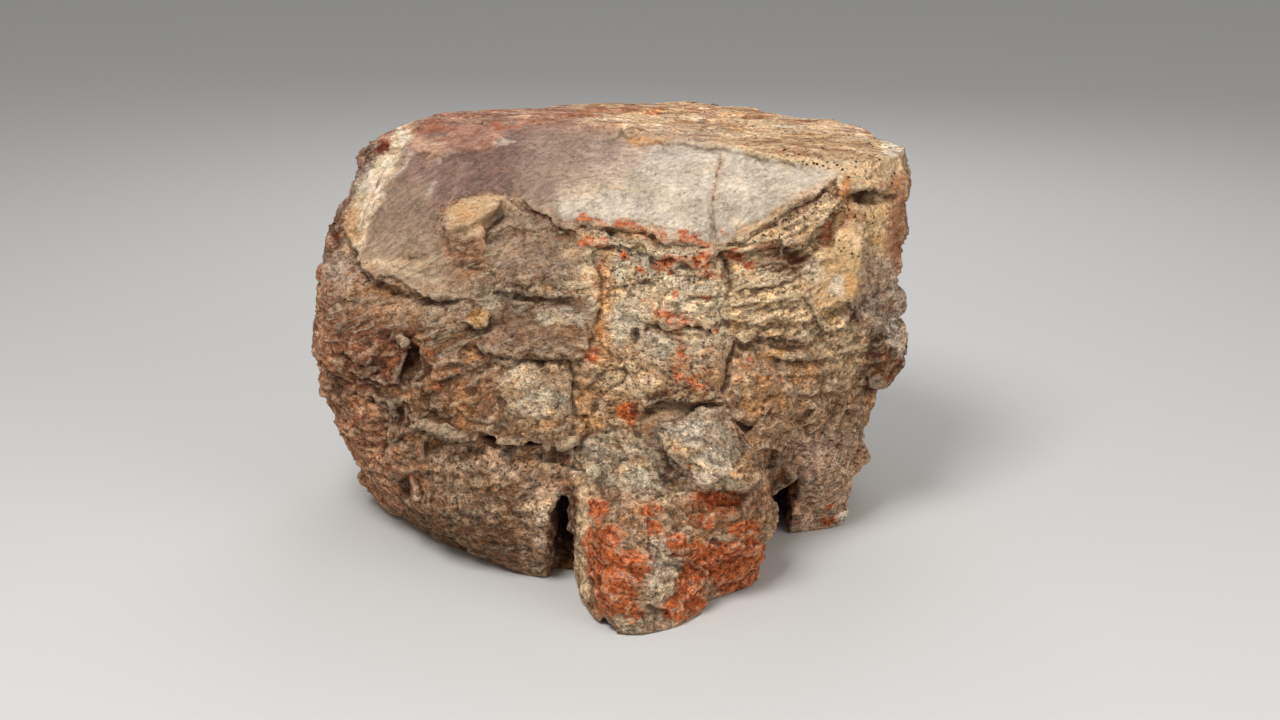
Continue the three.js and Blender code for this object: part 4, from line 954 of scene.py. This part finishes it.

# Lines of colour, each (colour, strength, half width, line). Those in the darkest brown, (90, 62, 43), are
# painted shade under the ledges' lips and along the joints.
LINES = [
    ("darkred", 0.9, 2.2, [388, 138, 373, 151, 354, 162, 343, 184]),
    ("brownred", 0.6, 1.6, [424, 136, 446, 140, 470, 137, 492, 130]),
    ("brownred", 0.5, 1.5, [440, 147, 462, 149, 482, 143, 504, 138]),
    ("redstreak", 0.6, 2.5, [470, 123, 510, 127, 548, 121]),
    ("creamband", 0.5, 2, [420, 141, 440, 145, 456, 144]),
    ("painted_shade", 0.6, 1.5, [412, 149, 424, 157, 436, 155, 446, 163, 458, 157, 474, 151, 490, 146]),
    ("white", 0.75, 5, [414, 128, 400, 146, 385, 168, 372, 190, 364, 214]),
    ("painted_shade", 0.5, 1.5, [412, 146, 396, 164, 383, 184, 372, 206, 364, 230]),
    ("white", 0.7, 1.8, [414, 150, 404, 164, 390, 180]),
    ("white", 0.5, 2.5, [438, 177, 432, 188, 426, 200]),
    ("white", 0.6, 2, [440, 156, 441, 168]),
    ("white", 0.3, 1.5, [356, 238, 340, 262, 330, 292]),
    ("white", 0.3, 2.5, [364, 262, 350, 282, 344, 300]),
    ("creamband", 0.5, 5, [360, 262, 400, 270, 448, 288]),
    ("painted_shade", 0.6, 2, [374, 282, 392, 285, 416, 296]),
    ("ochre", 0.5, 2, [719, 148, 717, 176, 714, 208]),
    ("painted_shade", 0.8, 0.5, [720, 146, 716, 182, 713, 208, 716, 246]),
    ("painted_shade", 1.0, 1.5, [716, 246, 728, 266, 729, 290, 721, 309]),
    ("painted_shade", 0.9, 1.6, [734, 335, 733, 350, 729, 370, 725, 398]),
    ("gold", 0.6, 9, [592, 258, 602, 280, 604, 306, 600, 332, 594, 356]),
    ("ochre", 0.8, 3, [590, 254, 598, 270, 603, 292, 598, 320, 592, 350]),
    ("painted_shade", 0.8, 1.5, [589, 250, 597, 266, 602, 282, 601, 300, 597, 322, 592, 346]),
    ("painted_shade", 0.7, 1.6, [568, 354, 573, 380, 572, 410, 576, 446]),
    ("ochre", 0.5, 3, [722, 240, 750, 228, 776, 214, 800, 198, 838, 176]),
    ("redmid", 0.5, 3, [580, 222, 614, 229, 650, 229, 660, 237, 690, 241, 718, 246]),
    ("painted_shade", 0.8, 1.6, [476, 262, 486, 268, 500, 276]),
    ("painted_shade", 0.6, 1.6, [465, 195, 490, 190, 508, 196, 520, 196]),
    ("painted_shade", 0.8, 2, [504, 200, 496, 212, 486, 222]),
    ("painted_shade", 0.5, 1.6, [520, 197, 528, 208, 545, 214, 560, 227]),
    ("painted_shade", 0.7, 2.6, [546, 230, 558, 232, 576, 240]),
    ("cream", 0.5, 3, [560, 196, 600, 190, 650, 186]),
    ("painted_shade", 0.7, 1.5, [578, 226, 600, 230, 622, 236, 644, 238, 664, 244, 684, 248, 706, 247]),
    ("painted_shade", 0.7, 1.5, [648, 322, 668, 319, 690, 324, 712, 326, 724, 322]),
    ("painted_shade", 0.6, 1.5, [724, 340, 746, 336, 770, 342, 800, 340, 830, 344]),
    ("goldcream", 0.6, 2.2, [648, 317, 668, 314, 690, 319, 712, 321]),
    ("goldcream", 0.5, 2.2, [728, 334, 748, 331, 772, 336, 802, 334]),
    ("painted_shade", 0.35, 1.4, [612, 137, 622, 131, 630, 137, 637, 132]),
    ("painted_shade", 0.7, 1.8, [694, 146, 708, 148, 728, 144]),
    ("painted_shade", 0.7, 1.8, [474, 124, 494, 127]),
    ("painted_shade", 0.7, 1.8, [478, 150, 494, 144]),
    ("painted_shade", 0.7, 1.6, [526, 130, 537, 125]),
    ("painted_shade", 0.7, 2.5, [840, 130, 856, 128]),
    ("white", 0.7, 2, [775, 115, 790, 115]),
    ("redmid", 0.6, 3, [742, 236, 762, 242, 778, 240]),
    ("cream", 0.7, 3, [735, 300, 770, 296, 800, 290]),
    ("painted_shade", 0.6, 1.2, [736, 306, 766, 303, 796, 299, 818, 296]),
    ("painted_shade", 0.5, 1.2, [734, 325, 770, 322, 812, 318, 836, 316]),
    ("painted_shade", 0.5, 1.1, [738, 287, 762, 284, 790, 281]),
    ("cream", 0.4, 3, [735, 318, 770, 315, 810, 312]),
    ("painted_shade", 0.7, 2, [862, 214, 864, 238, 876, 248]),
    ("cream", 0.5, 3, [856, 214, 858, 240, 852, 262]),
    ("cream", 0.5, 2.5, [586, 450, 582, 500, 580, 560]),
    ("white", 0.4, 2.5, [612, 522, 618, 540, 626, 560]),
    ("chunk", 0.7, 5, [650, 556, 660, 580, 672, 602]),
    ("creamband", 0.5, 2.5, [730, 448, 738, 468, 746, 488]),
    ("painted_shade", 0.7, 2, [648, 452, 658, 470, 674, 486]),
]

# The beds' colours round the sides and back, from the ground up to TOP_BED.
BED_COLOURS = ["footgrey", "redmid", "lowwall", "lobe", "flakebrown", "centrelow", "brownred", "lowwall",
    "tan", "leftpurple", "lowtan", "midgrey", "sidepink", "tan", "cream", "pinkbrown", "plum"]
TOP_BED = 0.82
LADDER_WARP = [(0.05, 0.3, 101), (0.02, 0.09, 102)]
LINE_WARP = [(0.006, 0.09, 142), (0.003, 0.035, 143)]
WARMTH = (1.03, 0.98, 0.95)
DARKEST, BRIGHTEST = 0.01, 0.95
TILTED = np.array([[0.8, 0, 0.6], [0, 1, 0], [-0.6, 0, 0.8]]) * [1, 1, 3.2]  # across the slab's grain


def light(colour):
    """A screen colour as light."""
    c = np.array(PALETTE[colour]) / 255
    return np.where(c < 0.04045, c / 12.92, ((c + 0.055) / 1.055) ** 2.4)


def blended(base, colour, share):
    base += share[:, None] * (light(colour) - base)


def bed_tones(p, beds):
    """The colours of the beds, blended from one to the next up the rock."""
    top = len(BED_COLOURS) - 1
    ladder = (beds + summed(p, *LADDER_WARP)) / TOP_BED * top
    ladder = np.clip(ladder + 0.8 * noise(along_beds(p, beds, 6), 0.03, 103), 0, top - 0.001)
    colours = np.array([light(name) for name in BED_COLOURS])
    step = np.floor(ladder).astype(int)
    share = smooth(ladder - step, 0.25, 0.75)[:, None]
    return (1 - share) * colours[step] + share * colours[step + 1]


def paint_top(tone, p, on_top):
    blended(tone, "pinkbrown", on_top * 0.9)
    blended(tone, "cream", on_top * smooth(fractal(p * [0.35, 1.4, 1.0], 0.1, 3, 105), 0.0, 0.5) * 0.8)
    blended(tone, "redstreak", on_top * smooth(fractal(p * [0.3, 1.6, 1.0], 0.07, 3, 106), 0.1, 0.6) * 0.7)


def paint_front(tone, p, seen, s, t):
    """The drawn areas, dabs and lines of colour, in that order."""
    mottle = fractal(p, 0.03, 3, 113)
    for colour, strength, soft, outline in AREAS:
        blended(tone, colour, seen * strength * inside(outline, s, t, soft))
    for colour, strength, *oval in DABS:
        share = smooth(dab(s, t, oval, 0.7) + 0.5 * mottle, 0.25, 0.6) * (dab(s, t, oval, 0.9) > 0)
        blended(tone, colour, seen * min(1.2 * strength, 1) * share)
    for colour, strength, width, line in LINES:
        near, share = band(line, strength, width, s, t)
        covered = np.zeros(len(s))
        covered[near] = share * smooth(mottle[near], -0.8, 0.1)
        blended(tone, colour, seen * covered)


def stained(p, beds, seen, s, t):
    """How red the iron stains are: as drawn in front, and scattered behind."""
    stain = np.zeros(len(s))
    for strength, *oval in STAINS:
        stain = np.maximum(stain, strength * dab(s, t, oval, 0.45))
    for strength, width, line in STAIN_LINES:
        near, share = band(line, strength, width, s, t)
        stain[near] = np.maximum(stain[near], share)
    behind = smooth(fractal(along_beds(p, beds, 1.6), 0.13, 3, 121), 0.25, 0.7) * smooth(p[:, 2], 0.75, 0.3)
    return seen * stain + (1 - seen) * 0.75 * behind


def painted(p, normals):
    """The rock's colours at points p, how red its stains are, how lively it is, and the columns of its
    lines: the height across the beds, how far the beds show as lines, and where the plateau is."""
    s, t = drawn(p)
    seen = facing(p, normals, -0.12, 0.08)
    front = facing(p, normals, *FRONT)
    beds = bed_height(p, s, front)
    on_top = smooth(normals[:, 2], 0.7, 0.9) * smooth(p[:, 2], 0.55, 0.7)
    tone = bed_tones(p, beds)
    paint_top(tone, p, on_top)
    shake = 3.5 * np.stack([fractal(p, 0.04, 3, 111), fractal(p, 0.04, 3, 112)], axis=1)
    s, t = s + 2 * shake[:, 0], t + 2 * shake[:, 1]
    paint_front(tone, p, seen, s, t)
    stain = stained(p, beds, seen, s, t)

    # streaks along the beds, and blotches
    slab = front * inside(SLAB, s, t, 8)
    plateau = (on_top - slab).clip(0)
    streak = fractal(along_beds(p, beds, 7), 0.016, 2, 131) * (1 - on_top) * (1 - slab)
    streak += slab * fractal(p @ TILTED, 0.03, 2, 133) + plateau * fractal(p * [0.4, 1.3, 1], 0.02, 3, 134)
    lines = fractal(p * [0.36, 1.1, 1], 0.035, 4, 136)
    blended(tone, "brownred", plateau * smooth(lines, 0.12, 0.4) * 0.6)
    blended(tone, "white", plateau * smooth(-lines, 0.15, 0.45) * 0.45)
    tone *= (1 + 0.14 * streak + 0.28 * fractal(p, 0.06, 3, 135))[:, None]
    calm = highest(CALM, slab * 0.75, front * 0.7, s, t)
    lined = 0.45 + 0.25 * noise(p, 0.2, 141)
    for share, outline in LINED:
        lined += front * inside(outline, s, t, 10) * (share - lined)
    lined *= 1 - on_top
    beds += summed(p, *LINE_WARP)
    return np.clip(tone * WARMTH, DARKEST, BRIGHTEST), stain, 1 - calm, [beds, lined, on_top * (1 - slab)]


def coloured(mesh):
    """Paints the mesh: stores its colours and marks on its vertices for the material."""
    skin = Skin(mesh)
    normals = skin.normals()
    tone, stain, lively, lines = painted(skin.points, normals)
    fine = stored(mesh, "fine_hollow")
    broad = stored(mesh, "broad_hollow")
    # Painted shade: darker in the rock's hollows and under the ledges' lips.
    hollow = smooth(fine, 0.1, 1.2) * 0.7 + smooth(broad, 0.8, 6.0) * 0.3 + 0.6 * stored(mesh, "ledge_shade")
    # Lighter on bumps and along the ledges' tops: partly wear, partly painted highlight.
    worn_and_lit = smooth(-fine, 0.2, 1.6) * 0.7 + smooth(-broad, 2.0, 7.0) * 0.3 + 0.45 * stored(mesh, "edge")
    s, t = drawn(skin.points)
    front = facing(skin.points, normals, *FRONT)
    grainy = front * np.maximum(inside(GRAINY_LOBE, s, t, 10), inside(GRAINY_RIGHT, s, t, 10))
    pits = 0.25 + 0.45 * grainy - 0.1 * front * inside(SLAB, s, t, 6)
    pits = highest(PITS, pits, front, s, t)
    store_colour(mesh, "tone", [tone, lively])
    store_colour(mesh, "lines", [*lines, np.ones(len(s))])
    store_colour(mesh, "marks", [stain, hollow.clip(0, 1), worn_and_lit.clip(0, 1), pits.clip(0, 1)])


# ---- material

# Noises of the stone, each (scale, detail, roughness, stretch, shift).
NOISES = {
    "medium": (38, 5, 0.7),
    "fine": (120, 4, 0.7),
    "grains": (290, 3, 0.75),
    "flecks": (190, 3, 0.75, (1.0, 1.0, 1.4)),
    "veins": (15, 6, 0.66, (1.0, 1.0, 1.6), (7.0, 1.0, 3.0)),
    "cracks": (26, 6, 0.66, (1.0, 1.0, 2.0), (2.0, 8.0, 1.0)),
    "strata": (44, 6, 0.68, (0.3, 1.0, 1.0)),
    "rough": (26, 7, 0.8, (1.0, 1.0, 1.6), (3.0, 5.0, 7.0)),
    "dots": (150, 2, 0.6, (1.0, 1.0, 1.3), (4.0, 1.0, 6.0)),
}
# Blotches, each (noise scale, shift, the noise values where it begins and is full, strength, tint).
PATCHES = [
    (11, 1.0, 0.52, 0.62, 0.55, (1.40, 1.48, 1.55)),
    (16, 2.0, 0.53, 0.64, 0.60, (1.25, 0.95, 0.62)),
    (24, 3.0, 0.53, 0.62, 0.45, (0.46, 0.40, 0.36)),
    (36, 4.0, 0.53, 0.61, 0.65, (1.75, 1.68, 1.55)),
    (58, 5.0, 0.55, 0.64, 0.38, (1.10, 0.78, 0.52)),
    (70, 6.0, 0.53, 0.60, 0.75, (0.34, 0.29, 0.26)),
]
PATCH_DETAIL, PATCH_ROUGHNESS, PATCH_STRETCH = 6, 0.68, (1.0, 1.0, 1.5)
# Markings, each (the values of its noise or mark where it begins and is full, strength).
MARKINGS = {
    "redstrata": (0.47, 0.38, 0.62),
    "palestrata": (0.54, 0.64, 0.6),
    "bedtop": (0.54, 0.64, 0.55),
    "bedgap": (0.45, 0.38, 0.6),
    "halo": (0.15, 0.5, 0.3),
}
VEIN_WIDTH, VEIN_STRENGTH = 0.02, 0.5  # widths in the noise's values
CRACK_WIDTH, CRACK_STRENGTH = 0.012, 0.7
CRUST_STRENGTH, RUST_STRENGTH, WORN_LIT_STRENGTH = 0.6, 0.85, 0.42
FLECK_TINT, FLECK_STRENGTH = (1.9, 1.82, 1.7), 0.6
LAYER_NOISE, LAYER_STRETCH = (105, 5, 0.6), 0.16
BRUSH_SLANT, BRUSH_STRETCH, BRUSH_SCALE = -0.85, 5.0, 130.0
# Chips, each (scale, steps, height).
COARSE_CHIPS, FINE_CHIPS = (13, 14.0, 1.4), (33, 9.0, 0.9)
HOLE_SCALE = 95.0
ROUGHNESS, SPECULAR = 0.92, 0.1
BUMP_STRENGTH, BUMP_DEPTH = 0.8, 0.007


def as_input(colour):
    """What a colour socket takes for a colour's name in PALETTE, a tint of three numbers or a socket."""
    if isinstance(colour, str):
        colour = tuple(light(colour))
    return (*colour, 1.0) if isinstance(colour, tuple) else colour


class Shader:
    """Builds a node tree. `colour` is the colour so far."""

    def __init__(self, name):
        self.material = bpy.data.materials.new(name)
        self.material.use_nodes = True
        self.tree = self.material.node_tree
        self.surface = self.tree.nodes["Principled BSDF"]
        self.place = self.node("ShaderNodeTexCoord").outputs["Object"]
        self.colour = None

    def node(self, kind, settings=None, **links):
        """Adds a node. A link i3 feeds its fourth input, and one named From_Min its input From Min."""
        node = self.tree.nodes.new(kind)
        for key, value in (settings or {}).items():
            setattr(node, key, value)
        for key, value in links.items():
            self.feed(node.inputs[int(key[1:]) if key[1:].isdigit() else key.replace("_", " ")], value)
        return node

    def feed(self, socket, value):
        if isinstance(value, bpy.types.NodeSocket):
            self.tree.links.new(value, socket)
        else:
            socket.default_value = value

    def attribute(self, name):
        node = self.node("ShaderNodeAttribute", {"attribute_name": name})
        return node.outputs["Color"], node.outputs["Alpha"]

    def split(self, colour):
        return self.node("ShaderNodeSeparateColor", None, Color=colour).outputs[:3]

    def noise(self, scale, detail, rough, stretch=(1, 1, 1), shift=(0, 0, 0), place=None):
        place = self.place if place is None else place
        mapping = self.node("ShaderNodeMapping", None, Vector=place, Scale=stretch, Location=shift)
        node = self.node("ShaderNodeTexNoise", None, Vector=mapping.outputs["Vector"], Scale=scale,
            Detail=detail, Roughness=rough)
        return node.outputs["Fac"]

    def ramp(self, value, low, high, start=0.0, end=1.0):
        """start where the value is low, end where it is high."""
        node = self.node("ShaderNodeMapRange", {"interpolation_type": "SMOOTHSTEP"}, Value=value,
            From_Min=low, From_Max=high, To_Min=start, To_Max=end)
        return node.outputs["Result"]

    def thread(self, value, width, middle=0.5):
        """1 where the value is the middle one, 0 where it is more than a width away: thin winding lines."""
        below, above = (self.ramp(value, edge, middle) for edge in (middle - width, middle + width))
        return self.product(below, above)

    def steps(self, scale, steps, height):
        """Terraced noise: thin chips with sharp edges."""
        value = self.noise(scale, 5, 0.6, (1.0, 1.0, 2.0), (scale, 2.0, 5.0))
        node = self.node("ShaderNodeMapRange", {"interpolation_type": "STEPPED"}, Value=value, From_Min=0.2,
            From_Max=0.8, To_Min=0.0, To_Max=height, Steps=steps)
        return node.outputs["Result"]

    def folded(self, operation, first, *others):
        for other in others:
            first = self.node("ShaderNodeMath", {"operation": operation}, i0=first, i1=other).outputs[0]
        return first

    def sum(self, *terms):
        return self.folded("ADD", *terms)

    def product(self, *factors):
        return self.folded("MULTIPLY", *factors)

    def blend(self, share, a, b, kind="MIX"):
        """Colour b over colour a."""
        a, b = as_input(a), as_input(b)
        node = self.node("ShaderNodeMix", {"data_type": "RGBA", "blend_type": kind}, i0=share, i6=a, i7=b)
        return node.outputs[2]

    def paint(self, colour, *shares):
        """Lays a colour over the stone."""
        self.colour = self.blend(self.product(*shares), self.colour, colour)

    def tint(self, tint, share):
        """Multiplies the stone's colour."""
        self.colour = self.blend(share, self.colour, tint, "MULTIPLY")

    def mark(self, name, value, *shares):
        """Paints one of the MARKINGS where the value is in its range."""
        low, high, strength = MARKINGS[name]
        self.paint(name, self.ramp(value, low, high), *shares, strength)


class Stone(Shader):
    """The sandstone: the painted colours, one kind of marking over the other, and bumps to match."""

    def __init__(self, name):
        super().__init__(name)
        for noise_name, settings in NOISES.items():
            setattr(self, noise_name, self.noise(*settings))
        self.colour, self.lively = self.attribute("tone")
        marks, self.pits = self.attribute("marks")
        self.stain, self.hollow, self.worn_and_lit = self.split(marks)
        self.beds, self.lined, self.on_top = self.split(self.attribute("lines")[0])
        self.calmer = self.ramp(self.lively, 0.2, 1.0, 0.35, 1.0)
        strength = self.product(self.calmer, FLECK_STRENGTH)
        self.pale = self.product(self.ramp(self.flecks, 0.54, 0.66), strength)

    def blotches(self):
        for scale, shift, low, high, most, tint in PATCHES:
            place = PATCH_STRETCH, (shift, 0.3 * shift, -shift)
            patchy = self.noise(scale, PATCH_DETAIL, PATCH_ROUGHNESS, *place)
            self.tint(tint, self.product(self.ramp(patchy, low, high, 0.0, most), self.lively))
        self.tint(FLECK_TINT, self.pale)

    def plateau_streaks(self):
        self.mark("redstrata", self.strata, self.on_top)
        self.mark("palestrata", self.strata, self.on_top)

    def brushed_slab(self):
        """Slanting grain where the stone is calm."""
        slanting = self.node("ShaderNodeMapping", {"vector_type": "TEXTURE"}, Vector=self.place,
            Rotation=(0.0, BRUSH_SLANT, 0.0), Scale=(BRUSH_STRETCH, 1.0, 1.0)).outputs["Vector"]
        grain = self.node("ShaderNodeTexNoise", None, Vector=slanting, Scale=BRUSH_SCALE, Detail=4.0,
            Roughness=0.6).outputs["Fac"]
        share = self.product(self.ramp(self.lively, 0.7, 0.35), self.ramp(self.on_top, 0.5, 0.0))
        self.tint(self.ramp(grain, 0.36, 0.64, 0.84, 1.17), share)

    def thin_beds(self):
        x, y, _ = self.node("ShaderNodeSeparateXYZ", None, Vector=self.place).outputs
        along = self.node("ShaderNodeCombineXYZ", None, X=self.product(x, LAYER_STRETCH),
            Y=self.product(y, LAYER_STRETCH), Z=self.beds).outputs[0]
        self.layers = self.noise(*LAYER_NOISE, place=along)
        self.mark("bedtop", self.layers, self.lined)
        self.mark("bedgap", self.layers, self.lined)

    def veins_and_cracks(self):
        self.paint("vein", self.thread(self.veins, VEIN_WIDTH), self.lively, VEIN_STRENGTH)
        broken = self.product(self.lively, self.ramp(self.medium, 0.42, 0.56))
        self.crack = self.product(self.thread(self.cracks, CRACK_WIDTH), broken)
        self.paint("crack", self.crack, CRACK_STRENGTH)

    def rust(self):
        """Iron stains with ragged edges, a faint halo and pale crusts."""
        ragged = self.ramp(self.medium, 0.3, 0.7, -0.3, 0.3), self.ramp(self.fine, 0.35, 0.65, -0.16, 0.16)
        reach = self.sum(self.stain, *ragged)
        near = self.ramp(self.stain, 0.05, 0.3)
        share = self.product(self.ramp(reach, 0.44, 0.6), near)
        self.mark("halo", reach, near)
        colour = self.blend(self.ramp(self.fine, 0.36, 0.6), "darkrust", "lightrust")
        self.paint(colour, share, RUST_STRENGTH)
        self.paint("crust", self.pale, share, CRUST_STRENGTH)

    def worn_lit_edges_and_grain(self):
        """Edges made lighter, partly worn and partly painted highlight, fine light and dark grain, and a
        coarser one low down.
        """
        self.paint("worn_lit_edge", self.worn_and_lit, WORN_LIT_STRENGTH)
        grain = self.ramp(self.fine, 0.3, 0.7, 0.84, 1.2), self.ramp(self.grains, 0.3, 0.7, 0.72, 1.3)
        self.tint(self.product(*grain), self.calmer)
        height = self.node("ShaderNodeSeparateXYZ", None, Vector=self.place).outputs[2]
        self.low_down = self.product(self.ramp(height, 0.5, 0.4), self.lively)
        self.tint(self.ramp(self.rough, 0.4, 0.6, 0.68, 1.34), self.low_down)

    def shade_specks_and_pits(self):
        # Painted shade: darker in hollows and under the ledges' lips.
        shade_in_hollows = self.product(self.hollow, self.ramp(self.fine, 0.3, 0.6, 0.65, 1.0))
        self.paint("shade_in_hollows", shade_in_hollows, self.ramp(self.lively, 0.2, 0.8, 0.4, 0.72))
        speck = self.product(self.ramp(self.dots, 0.42, 0.37), self.ramp(self.pits, 0.0, 1.0, 0.55, 0.75))
        self.paint("speck", speck, self.ramp(self.lively, 0.2, 0.8, 0.35, 1.0))
        # Dark spots painted as the shade inside small pits.
        holes = self.node("ShaderNodeTexVoronoi", None, Vector=self.place, Scale=HOLE_SCALE)
        pit_shade = self.product(self.ramp(holes.outputs["Distance"], 0.34, 0.22), self.ramp(self.pits, 0.5, 0.9))
        self.paint("pit_shade", pit_shade, self.ramp(self.medium, 0.44, 0.54))

    def bumps(self):
        chips = self.sum(self.steps(*COARSE_CHIPS), self.steps(*FINE_CHIPS))
        layers = [(self.medium, 0.5), (self.fine, 0.6), (chips, self.lively), (self.crack, -0.9),
            (self.rough, self.low_down, 0.9), (self.strata, self.on_top, 1.5), (self.flecks, 0.45),
            (self.grains, 0.25), (self.layers, self.lined, 2.2)]
        height = self.sum(*(self.product(*factors) for factors in layers))
        bump = self.node("ShaderNodeBump", None, Height=height, Strength=BUMP_STRENGTH, Distance=BUMP_DEPTH)
        self.feed(self.surface.inputs["Normal"], bump.outputs["Normal"])


def sandstone():
    stone = Stone("layered_sandstone")
    stone.blotches()
    stone.plateau_streaks()
    stone.brushed_slab()
    stone.thin_beds()
    stone.veins_and_cracks()
    stone.rust()
    stone.worn_lit_edges_and_grain()
    stone.shade_specks_and_pits()
    stone.feed(stone.surface.inputs["Base Color"], stone.colour)
    stone.surface.inputs["Roughness"].default_value = ROUGHNESS
    stone.surface.inputs["Specular IOR Level"].default_value = SPECULAR
    stone.bumps()
    return stone.material


# ---- the rock

rock = link("sandstone_boulder", carved(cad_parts[NODE]))
coloured(rock.data)
rock.data.materials.clear()
rock.data.materials.append(sandstone())
for polygon in rock.data.polygons:
    polygon.use_smooth = True
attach(rock, "root")
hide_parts(NODE)

# ---- floor, camera and light

FLOOR_HALF = 40.0
FLOOR_COLOUR = (0.62, 0.61, 0.59, 1)
FLOOR_ROUGHNESS = 0.85
WORLD_LIGHT = 0.36
# Lamps, each (place, size, power). They aim at LAMP_AIM.
LAMPS = {
    "key": ((-1.2, -2.5, 4.2), 1.6, 170),
    "fill": ((3.0, -2.6, 2.0), 2.5, 50),
    "back": ((0.5, 3.2, 3.0), 2.5, 40),
}
LAMP_AIM = Vector((0, 0, 0.4))


def turn(obj, place, sight):
    """Puts a camera or lamp in its place, looking along sight."""
    obj.location = place
    obj.rotation_mode = "QUATERNION"
    obj.rotation_quaternion = Vector(sight).to_track_quat("-Z", "Y")


floor_mesh = bpy.data.meshes.new("floor")
corners = [(FLOOR_HALF * x, FLOOR_HALF * y, 0) for x, y in ((-1, -1), (1, -1), (1, 1), (-1, 1))]
floor_mesh.from_pydata(corners, [], [(0, 1, 2, 3)])
floor = link("floor", floor_mesh)
plain = bpy.data.materials.new("pale_floor")
plain.use_nodes = True
plain.node_tree.nodes["Principled BSDF"].inputs["Base Color"].default_value = FLOOR_COLOUR
plain.node_tree.nodes["Principled BSDF"].inputs["Roughness"].default_value = FLOOR_ROUGHNESS
floor_mesh.materials.append(plain)

camera_data = bpy.data.cameras.new("camera")
camera_data.lens = LENS
camera_data.sensor_width = SENSOR
camera = link("camera", camera_data)
turn(camera, EYE, SIGHT)
bpy.context.scene.camera = camera

for name, (place, size, power) in LAMPS.items():
    lamp = bpy.data.lights.new(name, "AREA")
    lamp.size = size
    lamp.energy = power
    turn(link(name, lamp), place, LAMP_AIM - Vector(place))

world = bpy.data.worlds.new("studio")
bpy.context.scene.world = world
world.use_nodes = True
world.node_tree.nodes["Background"].inputs["Color"].default_value = (1, 1, 1, 1)
world.node_tree.nodes["Background"].inputs["Strength"].default_value = WORLD_LIGHT
bpy.context.scene.view_settings.view_transform = "Standard"
